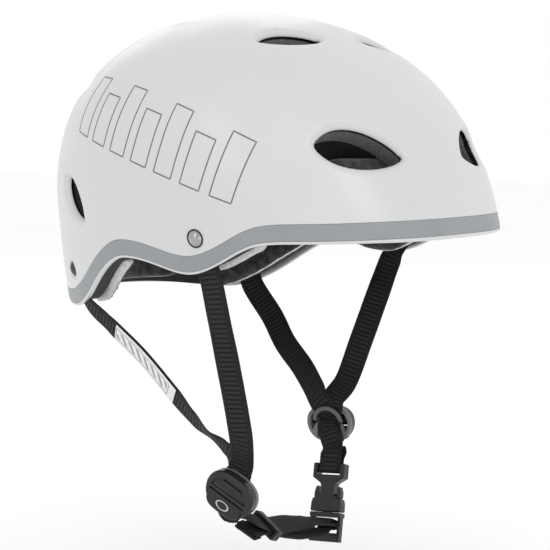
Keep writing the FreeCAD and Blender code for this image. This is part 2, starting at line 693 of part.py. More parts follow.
def build_straps():
    paths = harness_paths()
    drills = []
    for spot in (EAR_RIVET, REAR_RIVET):
        for side in (-1.0, 1.0):
            p, n = rivet_axis(spot, side)
            drills.append(disc(p, n, RIVET_SHANK_R + 0.1, -20.0, 5.0))
    for name, points in paths.items():
        strap = strap_solid(points)
        if name.endswith(("front_strap", "rear_strap")):
            strap = strap.cut(drills)
        for other in PRESSED.get(name, ()):
            near = paths[other][-PRESSED_POINTS:]
            if other == "chin_strap":
                near = paths[other][:PRESSED_POINTS]
            press = strap_solid(near, STRAP_W + 1.0, STRAP_T + 2 * PRESSED_GAP)
            strap = largest(strap.cut(press))
        save(largest(strap), name)
    label_points = paths["right_rear_strap"][LABEL_SPAN[0]:LABEL_SPAN[1]]
    lift = (STRAP_T + LABEL_T) / 2.0 + 0.05
    save(strap_solid(label_points, LABEL_W, LABEL_T, lift), "reflective_label")
    # rolled and stitched end of the chin strap
    end, n = free(*CHIN_TAIL[-1])
    before = free(*CHIN_TAIL[-2])[0]
    t = end - before
    t.normalize()
    n = n - t * n.dot(t)
    n.normalize()
    fold = [(end + t * FOLD_GAP, n), (end + t * 5.0, n), (end + t * FOLD_LEN, n)]
    save(strap_solid(fold, STRAP_W + 0.4, FOLD_T), "chin_strap_end")
    ring = []
    for grow, half_len in ((RING_WALL, RING_LEN / 2.0), (0.0, RING_LEN)):
        path = [(RING_C - RING_T * half_len, RING_N), (RING_C, RING_N),
                (RING_C + RING_T * half_len, RING_N)]
        block = strap_solid(path, RING_IN_W + 2 * grow, RING_IN_T + 2 * grow)
        ring.append(block)
    outer, hollow = ring
    outer = round_edges(outer, RING_WALL * 0.8, along_ring)
    save(outer.cut(hollow), "keeper_ring")


# ---------------------------------------------------------------- strap dividers
def block(u0, u1, v0, v1, n0, n1):
    return Part.makeBox(u1 - u0, v1 - v0, n1 - n0, V(u0, v0, n0))


def oval(inset, low, high, taper=0.12, power=2.5):
    points = []
    count = 40
    for i in range(count):
        angle = 2.0 * math.pi * i / count
        c = math.cos(angle)
        s = math.sin(angle)
        u = (DIV_HALF_W - inset) * math.copysign(abs(c) ** (2.0 / power), c)
        v = (DIV_TOP_V - inset) * math.copysign(abs(s) ** (2.0 / power), s)
        u = u * (1.0 + taper * min(v, 0.0) / DIV_TOP_V)
        points.append(V(u, v, low))
    return outward(Part.Face(closed_spline(points)).extrude(V(0, 0, high - low)))


def at_level(level):
    def test(edge):
        box = edge.BoundBox
        return abs(box.ZMin - level) < 0.01 and abs(box.ZMax - level) < 0.01
    return test


def divider_body():
    body = round_edges(oval(0.0, -PLATE_N, COVER_N), 2.0, at_level(COVER_N))
    body = body.cut(oval(2.3, PLATE_N, CAVITY_N))
    window = oval(2.2, -PLATE_N - 1.0, PLATE_N + 0.5)
    window = window.common(block(-16, 16, -4.5, TOP_BAR_V, -3, 3))
    arch = Part.Face(closed_spline([V(LEVER_HALF_W * math.cos(a),
                                      ARCH_TOP_V - ARCH_H + ARCH_H * math.sin(a), -3.0)
                                    for a in [2 * math.pi * i / 24 for i in range(24)]]))
    window = window.cut(outward(arch.extrude(V(0, 0, 6))))
    window = window.cut(block(-LEVER_HALF_W, LEVER_HALF_W, -20, ARCH_TOP_V - ARCH_H, -3, 3))
    wide = block(-SLOT_HALF_W, SLOT_HALF_W, ARCH_TOP_V, TOP_BAR_V, -2, 2)
    low = block(-SLOT_HALF_W, SLOT_HALF_W, LOWER_BAR_V, ARCH_LOW_V, -2, 2)
    low = low.makeFillet(1.5, [e for e in low.Edges
                               if abs(abs(e.tangentAt(0).z) - 1.0) < 1e-6])
    lever_bay = block(-LEVER_CUT_HALF_W, LEVER_CUT_HALF_W, -20.0, COVER_EDGE_V,
                      PLATE_N, COVER_N + 1.0)
    dish = oval(3.6, COVER_N - 1.3, COVER_N + 1.0).common(block(-20, 20, 0.6, 20, 0, 20))
    grip = block(-GRIP_HALF_W, GRIP_HALF_W, GRIP_V, GRIP_V + 1.6, COVER_N - 1.4, COVER_N - 0.3)
    body = body.cut([window, wide, low, lever_bay, dish])
    body = body.fuse(grip)
    bore = Part.makeCylinder(PIN_BORE_R, 2 * PIN_HALF_L + 0.1,
                             V(-PIN_HALF_L - 0.05, LEVER_V, LEVER_N), V(1, 0, 0))
    return largest(body.cut(bore))


def lever_body():
    half = []
    for i in range(9):
        angle = math.pi * i / 8
        c = math.cos(angle)
        s = math.sin(angle)
        half.append(V(LEVER_HALF_W * math.copysign(abs(c) ** 0.62, c),
                      LEVER_TOP_V - 3.0 - LEVER_DROP * abs(s) ** 0.8, LEVER_LOW_N))
    curve = Part.BSplineCurve()
    curve.interpolate(Points=half)
    a = V(-LEVER_HALF_W, LEVER_TOP_V, LEVER_LOW_N)
    b = V(LEVER_HALF_W, LEVER_TOP_V, LEVER_LOW_N)
    wire = Part.Wire(Part.__sortEdges__([curve.toShape(), Part.makeLine(half[-1], a),
                                         Part.makeLine(a, b), Part.makeLine(b, half[0])]))
    plate = outward(Part.Face(wire).extrude(V(0, 0, LEVER_HIGH_N - LEVER_LOW_N)))
    plate = round_edges(plate, 1.1, at_level(LEVER_HIGH_N))
    hub = Part.makeCylinder(LEVER_HUB_R, 2 * LEVER_HALF_W,
                            V(-LEVER_HALF_W, LEVER_V, LEVER_N), V(1, 0, 0))
    bore = Part.makeCylinder(PIN_BORE_R + 0.02, 60, V(-30, LEVER_V, LEVER_N), V(1, 0, 0))
    return largest(plate.fuse(hub).cut(bore))


def build_dividers():
    pin = Part.makeCylinder(PIN_R, 2 * PIN_HALF_L, V(-PIN_HALF_L, LEVER_V, LEVER_N), V(1, 0, 0))
    for name, frame in (("right", RIGHT), ("left", LEFT)):
        save(frame.place(divider_body()), name + "_divider")
        save(frame.place(lever_body()), name + "_divider_lever")
        save(frame.place(pin), name + "_lever_pin")
        print(name, "lever axis point", frame.at(0, LEVER_V, LEVER_N), "axis", frame.u,
              "n", frame.n, "v", frame.v)


# ---------------------------------------------------------------- side-release buckle
def mirrored(points):
    return list(points) + [(-u, v) for u, v in reversed(points)]


def slab(points, low, high):
    wire = polygon([V(u, v, low) for u, v in points])
    return outward(Part.Face(wire).extrude(V(0, 0, high - low)))


def upright(edge):
    ends = edge.Vertexes
    if len(ends) < 2:
        return False
    run = ends[1].Point - ends[0].Point
    return abs(run.x) < 1e-6 and abs(run.y) < 1e-6


def female_body():
    body = slab(mirrored(FEMALE_HALF_LINE), -FEMALE_HALF_T, FEMALE_HALF_T)
    body = round_edges(body, 0.9, upright)
    body = round_edges(body, 0.7, at_level(FEMALE_HALF_T))
    body = round_edges(body, 0.7, at_level(-FEMALE_HALF_T))
    for sign in (-1, 1):
        low, high = sorted((sign * BAR_HALF_T, sign * (FEMALE_HALF_T + 1)))
        body = body.cut(block(-SLOT_HALF_W, SLOT_HALF_W, -7.2, 2.0, low, high))
    body = body.cut(block(-SLOT_HALF_W, SLOT_HALF_W, -7.2, -4.0, -5, 5))
    mouth = block(-MOUTH_HALF_W, MOUTH_HALF_W, -31.0, MOUTH_TOP_V, -MOUTH_HALF_T, MOUTH_HALF_T)
    return largest(body.cut(mouth))


def male_body():
    head = block(-LOCK_HALF_W, LOCK_HALF_W, LOCK_SHOULDER_V, LOCK_TOP_V, -3.3, 3.3)
    rails = block(-LOCK_HALF_W, LOCK_HALF_W, LOCK_PLATE_V[0], LOCK_SHOULDER_V, -1.9, 1.9)
    body = head.fuse(rails).removeSplitter()
    body = round_edges(body, 0.8, upright)
    body = body.cut(block(-LOCK_RAIL_U, LOCK_RAIL_U, LOCK_PLATE_V[1], LOCK_SHOULDER_V, -5, 5))
    bar = block(-LOCK_RAIL_U - 0.5, LOCK_RAIL_U + 0.5, LOCK_BAR_V[0], LOCK_BAR_V[1],
                -BAR_HALF_T, BAR_HALF_T)
    tongue = block(-3.0, 3.0, LOCK_TOP_V - 0.5, MOUTH_TOP_V - 0.8, -1.4, 1.4)
    return largest(body.fuse([bar, tongue]).removeSplitter())


def prong(sign):
    body = slab([(sign * u, v) for u, v in PRONG_LINE], -PRONG_HALF_T, PRONG_HALF_T)
    foot = Part.makeCylinder(PRONG_FOOT_R, 2 * PRONG_HALF_T,
                             V(sign * PRONG_HINGE_U, PRONG_HINGE_V, -PRONG_HALF_T), V(0, 0, 1))
    return largest(body.fuse(foot).removeSplitter())


def build_buckle():
    save(BUCKLE.place(female_body()), "buckle_female")
    save(BUCKLE.place(male_body()), "buckle_male")
    save(BUCKLE.place(prong(-1.0)), "front_latch_prong")
    save(BUCKLE.place(prong(1.0)), "rear_latch_prong")
    print("buckle axes u", BUCKLE.u, "v", BUCKLE.v, "n", BUCKLE.n)
    for sign in (-1, 1):
        print("prong hinge", BUCKLE.at(sign * PRONG_HINGE_U, PRONG_HINGE_V, 0))


build_pads()
build_rivets()
build_straps()
build_dividers()
build_buckle()
build_shell_parts()
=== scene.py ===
"""Water helmet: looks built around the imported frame.  Lengths in mm until a mesh is made."""
import math

import bpy
import numpy as np
from mathutils import Matrix, Vector


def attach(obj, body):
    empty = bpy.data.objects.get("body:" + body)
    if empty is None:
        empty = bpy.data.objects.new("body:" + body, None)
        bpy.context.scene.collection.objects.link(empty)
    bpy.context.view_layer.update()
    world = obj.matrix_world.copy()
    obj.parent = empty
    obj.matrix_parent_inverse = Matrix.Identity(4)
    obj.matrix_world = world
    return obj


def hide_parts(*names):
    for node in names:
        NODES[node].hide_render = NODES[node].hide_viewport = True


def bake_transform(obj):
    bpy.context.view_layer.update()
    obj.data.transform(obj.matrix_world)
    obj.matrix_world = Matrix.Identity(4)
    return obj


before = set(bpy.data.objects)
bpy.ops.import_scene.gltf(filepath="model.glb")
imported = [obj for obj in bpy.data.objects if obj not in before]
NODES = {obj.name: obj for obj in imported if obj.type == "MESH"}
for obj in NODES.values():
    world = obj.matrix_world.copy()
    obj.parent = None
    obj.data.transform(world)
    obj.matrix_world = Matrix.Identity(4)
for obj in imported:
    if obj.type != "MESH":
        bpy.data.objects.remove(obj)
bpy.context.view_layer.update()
MM = 0.001
UP = Vector((0, 0, 1))
SCENE = bpy.context.scene

# ---- shell form
CROWN_Z = 122.0
EAR_Y = 7.5
FRONT = (149.3, -42.0, 1.87, 1.0)  # reach, height of the longest section, roundness, tuck
BACK = (133.2, 12.5, 1.84, -0.26)
SIDE = (111.0, 48.0, 2.28, 1.85)
PLAN_FRONT = 2.67
PLAN_BACK = 1.97
SHELL_T = 3.0
RECESS_DEPTH = 0.95
BAND_LOW = 1.5
BAND_HIGH = 10.4
BAND_ROLL = 0.6
PAD_IN = 24.2
RIM_LINE = (
    (-160.0, 0.3), (-140.0, 0.0), (-118.0, -1.0), (-98.0, -2.0), (-80.0, -3.0),
    (-70.0, -4.8), (-61.0, -8.6), (-50.0, -14.6), (-40.0, -19.3), (-32.0, -21.7),
    (-25.0, -22.3), (-17.0, -21.4), (-7.0, -19.3), (4.0, -17.2), (14.0, -16.4),
    (22.0, -17.0), (31.0, -20.3), (41.0, -26.3), (50.0, -32.8), (61.0, -41.0),
    (73.0, -48.0), (86.0, -52.6), (100.0, -53.6), (120.0, -51.6), (145.0, -50.0),
    (165.0, -49.5))
VENTS = (
    ((-54.0, -105.5, 46.7), (-47.8, 22.4, 6.0), 26.5, 11.4, 0.22),
    ((-41.0, -47.0, 105.5), (-43.8, 8.9, -3.0), 22.5, 6.8, 0.10),
    ((-40.0, 22.0, 116.0), (-43.8, -8.0, -5.0), 22.0, 6.8, 0.10),
    ((-68.0, 84.0, 80.0), (-60.0, -50.0, 0.0), 20.0, 8.0, 0.10),
    ((-97.5, 65.0, 13.0), (4.8, 16.5, 18.9), 15.0, 7.2, 0.12))
BACK_VENT = ((0.0, 139.0, 38.0), (1.0, 0.0, 0.0), 22.0, 8.0, 0.0)
VENT_TAPER = 0.32
EAR_RIVET = (-36.0, -2.0)
REAR_RIVET = (81.5, -29.4)

SKIN_COLUMNS = 820
SKIN_ROWS = 230
DISH_MARGIN = 4.2  # soft hollow that leads into a vent
DISH_DEPTH = 2.1
LIP_R = 1.1  # rolled lip at the vent's edge
CUP_R = 5.4  # hollow that a rear rivet sits in
CUP_DEPTH = 1.1
CUP_EASE = 0.6  # half the width of the slope round that hollow
# places where the skin is drawn out or pressed in: centre, reach and height
SWELLS = (((98.0, 46.0, 60.0), 15.0, 1.7), ((88.0, 60.0, 77.0), 8.5, -1.9))
FAR = 99.0  # distance given to points that are nowhere near a vent
VENT_REACH = 12.0  # how far round a vent its distance is worked out


def spline_through(points):
    """Natural cubic spline y(x) through a list of points, as a function of arrays."""
    x = np.array([p[0] for p in points], float)
    y = np.array([p[1] for p in points], float)
    h = np.diff(x)
    count = len(x)
    a = np.eye(count)
    b = np.zeros(count)
    for i in range(1, count - 1):
        a[i, i - 1:i + 2] = (h[i - 1], 2 * (h[i - 1] + h[i]), h[i])
        b[i] = 6 * ((y[i + 1] - y[i]) / h[i] - (y[i] - y[i - 1]) / h[i - 1])
    m = np.linalg.solve(a, b)

    def at(q):
        q = np.clip(q, x[0], x[-1])
        i = np.clip(np.searchsorted(x, q) - 1, 0, count - 2)
        l = x[i + 1] - q
        r = q - x[i]
        return ((m[i] * l ** 3 + m[i + 1] * r ** 3) / (6 * h[i])
                + (y[i] / h[i] - m[i] * h[i] / 6) * l + (y[i + 1] / h[i] - m[i + 1] * h[i] / 6) * r)
    return at


rim_z = spline_through(RIM_LINE)


def reach_at(z, form, inset):
    """How far the dome reaches in one plan direction at height z, inset from its outer face."""
    reach, eq_z, exponent, tuck = form
    reach = reach - inset
    low = reach - tuck * (eq_z - z) ** 2 / 1000.0
    share = np.clip((z - eq_z) / (CROWN_Z - inset - eq_z), 0.0, 1.0)
    high = reach * np.maximum(1.0 - share ** exponent, 1e-9) ** (1.0 / exponent)
    return np.where(z < eq_z, low, high)


def plan_at(ahead, z, inset):
    """Length, half width and roundness of the dome's plan at height z."""
    reach = np.where(ahead, reach_at(z, FRONT, inset), reach_at(z, BACK, inset))
    return reach, reach_at(z, SIDE, inset), np.where(ahead, PLAN_FRONT, PLAN_BACK)


def dome_value(p, inset=0.0):
    """Below 0 inside the dome, 0 on it and above 0 outside."""
    x, y, z = p[..., 0], p[..., 1], p[..., 2]
    reach, side, power = plan_at(y < EAR_Y, z, inset)
    return (np.abs(x) / side) ** power + (np.abs(y - EAR_Y) / reach) ** power - 1.0


def dome_normal(p, inset=0.0):
    h = 0.05
    grads = []
    for axis in range(3):
        step = np.zeros(3)
        step[axis] = h
        grads.append(dome_value(p + step, inset) - dome_value(p - step, inset))
    n = np.stack(grads, -1)
    return n / np.maximum(np.linalg.norm(n, axis=-1, keepdims=True), 1e-12)


def dome_point(psi, z):
    """Point of the dome at height z in plan direction psi, which is 0 at the brow."""
    c = np.cos(psi)
    s = np.sin(psi)
    reach, side, power = plan_at(c > 0, z, 0.0)
    r = ((np.abs(s) / side) ** power + (np.abs(c) / reach) ** power) ** (-1.0 / power)
    return np.stack([r * s, EAR_Y - r * c, z + 0 * r], -1)


def dome_x(y, z, inset=0.0):
    """Half the dome's width at y and z."""
    reach, side, power = plan_at(y < EAR_Y, z, inset)
    share = np.clip(np.abs(y - EAR_Y) / reach, 0.0, 1.0)
    return side * (1.0 - share ** power) ** (1.0 / power)


def halved(low, high, steps, below):
    """Closes in on the place between low and high where below(place) stops being true."""
    for _ in range(steps):
        mid = (low + high) / 2.0
        under = below(mid)
        low = np.where(under, mid, low)
        high = np.where(under, high, mid)
    return (low + high) / 2.0


def onto_dome(p):
    """Moves one point along its line from the head's middle onto the dome."""
    hub = np.array([0.0, EAR_Y, 20.0])
    return hub + (p - hub) * halved(0.3, 1.6, 50, lambda k: dome_value(hub + (p - hub) * k) < 0)


def swell_at(points):
    """How far the skin stands off the plain dome where it is drawn out or pressed in."""
    rise = np.zeros(len(points))
    for spot, reach, height in SWELLS:
        gap = np.abs(points[:, 0]) - spot[0], points[:, 1] - spot[1], points[:, 2] - spot[2]
        rise += height * np.exp(-sum(g * g for g in gap) / (2 * reach * reach))
    return rise


def vent_field(points, normals, vent, side):
    """Grow distance of each point from a vent's outline: 0 on it, below 0 inside."""
    centre, along, half_a, half_b, blunt = vent
    centre = onto_dome(np.array([centre[0] * side, centre[1], centre[2]]))
    n = dome_normal(centre)
    a_dir = np.array([along[0] * side, along[1], along[2]])
    a_dir = a_dir - n * a_dir.dot(n)
    a_dir /= np.linalg.norm(a_dir)
    b_dir = np.cross(n, a_dir)
    rel = points - centre
    a = rel @ a_dir
    b = rel @ b_dir
    near = (np.abs(a) < half_a + VENT_REACH) & (np.abs(b) < half_b + VENT_REACH)
    near &= normals @ n > 0.2
    field = np.full(len(points), FAR)
    qa, qb = a[near], b[near]

    def outside(grow):
        c = np.clip(qa / (half_a + grow), -1, 1)
        wide = (half_b + grow) * np.sqrt(1 - c * c) ** (1 + VENT_TAPER) * (1 + blunt * c)
        return (np.abs(qb) > wide) | (np.abs(qa) >= half_a + grow)

    low = np.full(near.sum(), -half_b + 0.2)
    field[near] = halved(low, VENT_REACH + 2.0, 24, outside)
    return field, a_dir, b_dir, a, b


def smooth(t):
    t = np.clip(t, 0.0, 1.0)
    return t * t * (3 - 2 * t)


def place_object(name, data):
    obj = bpy.data.objects.new(name, data)
    SCENE.collection.objects.link(obj)
    return obj


def new_object(name, verts, faces, material=None, shade=True):
    """Object from points in mm."""
    mesh = bpy.data.meshes.new(name)
    mesh.from_pydata([tuple(v) for v in np.asarray(verts) * MM], [], faces)
    mesh.update()
    obj = place_object(name, mesh)
    if shade:
        mesh.polygons.foreach_set("use_smooth", [True] * len(mesh.polygons))
    if material:
        mesh.materials.append(material)
    return obj


def set_attribute(obj, name, values):
    attribute = obj.data.attributes.new(name, "FLOAT", "POINT")
    attribute.data.foreach_set("value", np.asarray(values, np.float32))


# ---- materials
LABEL_LEN = 52.0
LABEL_HALF_W = 5.0
LABEL_LINE = 0.22  # half the width of the outline
LABEL_LEAN = 0.9
LABEL_PITCH = 7.0
LABEL_BAR = 0.36  # share of the pitch that a bar takes
FOAM_CELLS = 1000.0
COVER_FROM = 1.15  # height on a divider where the painted sheen grey of the head-side plate ends
COVER_TO = 1.25
GLOSS_BLACK = ((0.010, 0.010, 0.011), (0.022, 0.022, 0.024))


class Shader:
    """Small helper round a node tree, so that each material stays short."""

    def __init__(self, name):
        self.material = bpy.data.materials.new(name)
        self.material.use_nodes = True
        self.tree = self.material.node_tree
        self.bsdf = self.tree.nodes["Principled BSDF"]
        self.place = self.add("ShaderNodeTexCoord").outputs["Object"]

    def add(self, kind, **values):
        node = self.tree.nodes.new(kind)
        for key, value in values.items():
            setattr(node, key, value)
        return node

    def link(self, a, b):
        self.tree.links.new(a, b)

    def set(self, **values):
        for key, value in values.items():
            self.bsdf.inputs[key.replace("_", " ")].default_value = value

    def wire(self, kind, values, **settings):
        """New node whose first inputs are given a number, a vector, a link or nothing."""
        node = self.add(kind, **settings)
        for socket, value in zip(node.inputs, values):
            if isinstance(value, (int, float, tuple)):
                socket.default_value = value
            elif value is not None:
                self.link(value, socket)
        return node.outputs

    def noise(self, scale, detail=3.0, rough=0.5):
        return self.wire("ShaderNodeTexNoise", (self.place, None, scale, detail, rough))["Fac"]

    def cells(self, scale):
        return self.wire("ShaderNodeTexVoronoi", (self.place, None, scale))["Distance"]

    def attribute(self, name):
        return self.add("ShaderNodeAttribute", attribute_name=name).outputs["Fac"]

    def math(self, kind, a, b=None, clamp=False):
        return self.wire("ShaderNodeMath", (a, b), operation=kind, use_clamp=clamp)[0]

    def vector(self, kind, a, b=None):
        return self.wire("ShaderNodeVectorMath", (a, b), operation=kind)

    def remap(self, value, low, high, out_low=0.0, out_high=1.0):
        return self.wire("ShaderNodeMapRange", (value, low, high, out_low, out_high))[0]

    def mix(self, fac, a, b):
        node = self.add("ShaderNodeMix", data_type="RGBA")
        if isinstance(fac, (int, float)):
            node.inputs["Factor"].default_value = fac
        else:
            self.link(fac, node.inputs["Factor"])
        for socket, value in ((node.inputs[6], a), (node.inputs[7], b)):
            if isinstance(value, tuple):
                socket.default_value = (*value, 1.0)
            else:
                self.link(value, socket)
        return node.outputs[2]

    def colour(self, value):
        self.link(value, self.bsdf.inputs["Base Color"])

    def roughness(self, value):
        self.link(value, self.bsdf.inputs["Roughness"])

    def bump(self, height, distance):
        node = self.add("ShaderNodeBump")
        node.inputs["Distance"].default_value = distance
        node.inputs["Strength"].default_value = 1.0
        self.link(height, node.inputs["Height"])
        self.link(node.outputs["Normal"], self.bsdf.inputs["Normal"])


def plastic(name, dark, light, rough, grain=0.00002, coat=0.0, tone_scale=30.0, grain_scale=1800.0,
            spread=0.05, shine=0.5):
    """Moulded plastic: slow tone drift, fine moulded grain and a roughness that varies."""
    s = Shader(name)
    s.colour(s.mix(s.noise(tone_scale, 4.0), dark, light))
    s.roughness(s.remap(s.noise(tone_scale * 9, 3.0), 0.3, 0.7, rough - spread, rough + spread))
    s.bump(s.noise(grain_scale, 2.0), grain)
    s.set(Coat_Weight=coat, Coat_Roughness=0.12, Specular_IOR_Level=shine)
    return s.material


def shell_material():
    s = Shader("shell_white")
    tone = s.mix(s.noise(14.0, 3.0), (0.565, 0.57, 0.575), (0.60, 0.605, 0.61))
    scuff = s.remap(s.noise(90.0, 6.0, 0.6), 0.62, 0.75, 0.0, 0.12)
    s.colour(s.mix(scuff, tone, (0.50, 0.505, 0.51)))
    s.roughness(s.remap(s.noise(60.0, 5.0), 0.3, 0.7, 0.27, 0.36))
    s.bump(s.noise(420.0, 3.0), 0.00003)
    s.set(Coat_Weight=0.12, Coat_Roughness=0.2)
    return s.material


def webbing_material():
    s = Shader("webbing")
    relief = s.attribute("relief")
    thread = s.noise(2400.0, 2.0, 0.6)
    # painted shade: the weave's grooves are coloured darker and its threads lighter, following the
    # relief
    tone = s.mix(s.remap(relief, 0.0, 1.0), (0.0015, 0.0015, 0.002), (0.012, 0.012, 0.013))
    tone = s.mix(s.remap(thread, 0.45, 0.75, 0.0, 0.35), tone, (0.035, 0.035, 0.037))
    s.colour(tone)
    s.roughness(s.remap(relief, 0.0, 1.0, 0.85, 0.6))
    s.bump(thread, 0.00012)
    s.set(Sheen_Weight=0.03, Sheen_Roughness=0.5, Specular_IOR_Level=0.3)
    return s.material


def label_material():
    """Silver film with an outline and plain slanted bars, drawn along and across the strap."""
    s = Shader("label_silver")
    along = s.attribute("along")
    across = s.attribute("across")
    silver = s.mix(s.noise(700.0, 2.0), (0.60, 0.61, 0.62), (0.84, 0.85, 0.86))
    edge = s.math("MINIMUM",
                  s.math("MINIMUM", along, s.math("SUBTRACT", LABEL_LEN, along)),
                  s.math("SUBTRACT", LABEL_HALF_W, s.math("ABSOLUTE", across)))
    frame_line = s.math("COMPARE", edge, 1.0)
    frame_line.node.inputs[2].default_value = LABEL_LINE
    lean = s.math("ADD", along, s.math("MULTIPLY", across, LABEL_LEAN))
    wave = s.math("FRACT", s.math("DIVIDE", lean, LABEL_PITCH))
    bar = s.math("MULTIPLY", s.math("LESS_THAN", wave, LABEL_BAR),
                 s.math("GREATER_THAN", edge, 2.0))
    mark = s.math("MAXIMUM", frame_line, s.math("MULTIPLY", bar, 0.75), clamp=True)
    s.colour(s.mix(mark, silver, (0.09, 0.09, 0.095)))
    s.roughness(s.remap(s.noise(900.0, 2.0), 0.3, 0.7, 0.3, 0.45))
    s.bump(s.cells(1100.0), 0.00003)
    s.set(Metallic=0.25)
    return s.material


def liner_material():
    """Dark closed-cell foam, paler on the cut walls of the vents."""
    s = Shader("liner_foam")
    geometry = s.add("ShaderNodeNewGeometry")
    hub = s.vector("SUBTRACT", geometry.outputs["Position"], (0.0, EAR_Y * MM, 0.02))
    ray = s.vector("NORMALIZE", hub[0])
    facing = s.vector("DOT_PRODUCT", ray[0], geometry.outputs["True Normal"])
    wall = s.remap(s.math("ABSOLUTE", facing["Value"]), 0.35, 0.65, 1.0, 0.0)
    split = s.add("ShaderNodeSeparateXYZ")
    s.link(geometry.outputs["Position"], split.inputs[0])
    high = s.remap(split.outputs["Z"], 0.022, 0.030)
    pale = s.math("MULTIPLY", wall, high)
    cells = s.remap(s.cells(FOAM_CELLS), 0.0, 0.7)
    black = s.mix(cells, (0.012, 0.012, 0.013), (0.028, 0.028, 0.030))
    grey = s.mix(cells, (0.07, 0.07, 0.072), (0.17, 0.17, 0.172))
    s.colour(s.mix(pale, black, grey))
    s.bump(s.cells(FOAM_CELLS), 0.0002)
    s.set(Roughness=0.9)
    return s.material


def pad_material():
    """Brushed mottled fabric on the face, pale fluffy cut foam on the sides."""
    s = Shader("pad_cover")
    face = s.attribute("face")
    blotch = s.remap(s.noise(240.0, 4.0, 0.65), 0.42, 0.62)
    cloth = s.mix(blotch, (0.005, 0.005, 0.006), (0.050, 0.050, 0.052))
    fluff = s.remap(s.noise(520.0, 5.0, 0.7), 0.3, 0.7)
    foam = s.mix(fluff, (0.34, 0.34, 0.34), (0.80, 0.80, 0.79))
    ragged = s.math("ADD", face, s.remap(s.noise(400.0, 3.0), 0.3, 0.7, -0.2, 0.2))
    s.colour(s.mix(s.remap(ragged, 0.42, 0.58), foam, cloth))
    s.bump(s.noise(900.0, 5.0, 0.7), 0.0005)
    s.set(Roughness=0.95, Sheen_Weight=0.25, Sheen_Roughness=0.6)
    return s.material


def metal(name, dark, light, rough, scale=500.0):
    s = Shader(name)
    s.colour(s.mix(s.noise(scale * 0.3, 3.0), dark, light))
    s.roughness(s.remap(s.noise(scale, 4.0), 0.3, 0.7, rough - 0.05, rough + 0.06))
    s.bump(s.noise(scale * 4.0, 2.0), 0.000008)
    s.set(Metallic=1.0)
    return s.material


def divider_material(name, fitting):
    """Black plastic, coloured grey on the plate against the head as painted sheen, gloss black on
    the cover outside it.
    """
    s = Shader(name)
    level = s.vector("DOT_PRODUCT", s.place, tuple(fitting.n / MM))
    height = s.math("SUBTRACT", level["Value"], fitting.c.dot(fitting.n))
    cover = s.remap(height, COVER_FROM, COVER_TO)
    # painted sheen: grey stands for the light that the head-side plate of black plastic catches
    grey = s.mix(s.noise(160.0, 4.0), (0.13, 0.13, 0.135), (0.18, 0.18, 0.185))
    black = s.mix(s.noise(120.0, 4.0), *GLOSS_BLACK)
    s.colour(s.mix(cover, grey, black))
    s.roughness(s.remap(cover, 0.0, 1.0, 0.5, 0.2))
    s.bump(s.noise(1800.0, 2.0), 0.00001)
    s.set(Specular_IOR_Level=0.35)
    return s.material


SHELL = shell_material()
BAND = plastic("band_grey", (0.225, 0.24, 0.25), (0.29, 0.305, 0.315), 0.42, tone_scale=25.0)
GRAPHIC = plastic("graphic_line", (0.10, 0.105, 0.11), (0.17, 0.175, 0.18), 0.45)
WEBBING = webbing_material()
LABEL = label_material()
LINER = liner_material()
PAD = pad_material()
HARDWARE = plastic("hardware_black", *GLOSS_BLACK, 0.24, coat=0.05, tone_scale=120.0,
                   spread=0.06, shine=0.3)
MARK = plastic("pale_mark", (0.42, 0.42, 0.43), (0.62, 0.62, 0.63), 0.4)
RUBBER = plastic("keeper_rubber", (0.010, 0.010, 0.010), (0.022, 0.022, 0.022), 0.45,
                 grain=0.00006, grain_scale=2400.0, shine=0.25)
# painted sheen: the arch is the same black plastic, made grey for the light it catches
ARCH_SHEEN_GREY = plastic("arch_sheen_grey", (0.085, 0.085, 0.088), (0.12, 0.12, 0.124), 0.45,
                     tone_scale=160.0, shine=0.35)
WASHER = plastic("washer_black", (0.015, 0.015, 0.015), (0.035, 0.035, 0.035), 0.6)
CHROME = metal("rivet_chrome", (0.30, 0.305, 0.315), (0.46, 0.465, 0.475), 0.16)
DARK_RIVET = metal("rivet_dark", (0.05, 0.052, 0.055), (0.10, 0.102, 0.105), 0.34)
PIN = metal("pin_steel", (0.45, 0.45, 0.46), (0.62, 0.62, 0.62), 0.28)


# ---- shell skin and edge band
def rim_heights(psi):
    """Height of the rim in each plan direction."""
    z = np.full(len(psi), -20.0)
    for _ in range(60):
        y = dome_point(psi, z)[:, 1]
        z = 0.5 * z + 0.5 * rim_z(y)
    return z


def quads_between(rows, columns):
    faces = []
    for r in range(rows - 1):
        base = r * columns
        for c in range(columns):
            d = (c + 1) % columns
            faces.append((base + c, base + d, base + columns + d, base + columns + c))
    return faces


def capped(rows, columns):
    """Faces between closed rows of points, with both ends filled."""
    ends = [tuple(range(columns))[::-1], tuple(range((rows - 1) * columns, rows * columns))]
    return quads_between(rows, columns) + ends


def skin_points(psi, rim):
    """Rows of points over the whole dome from the rim up, and how deep each is pressed in."""
    low_rows = ((0.0, 1.1), (0.12, 0.65), (0.4, 0.25), (0.8, 0.05), (1.2, 0.0),
                (BAND_LOW - 0.12, 0.02), (BAND_LOW, 0.15), (BAND_LOW, RECESS_DEPTH),
                (BAND_LOW + 3.0, RECESS_DEPTH), (BAND_HIGH - 3.0, RECESS_DEPTH),
                (BAND_HIGH, RECESS_DEPTH), (BAND_HIGH, 0.15), (BAND_HIGH + 0.12, 0.02))
    rows = [dome_point(psi, rim + offset) for offset, _ in low_rows]
    depths = [np.full(SKIN_COLUMNS, depth) for _, depth in low_rows]
    start = rim + BAND_HIGH + 0.5
    for i in range(SKIN_ROWS):
        share = math.sin(math.pi / 2 * i / SKIN_ROWS)
        rows.append(dome_point(psi, start + (CROWN_Z - start) * share))
        depths.append(np.zeros(SKIN_COLUMNS))
    rows.append([[0.0, EAR_Y, CROWN_Z]])
    depths.append([0.0])
    return np.vstack(rows), np.concatenate(depths), len(rows) - 1


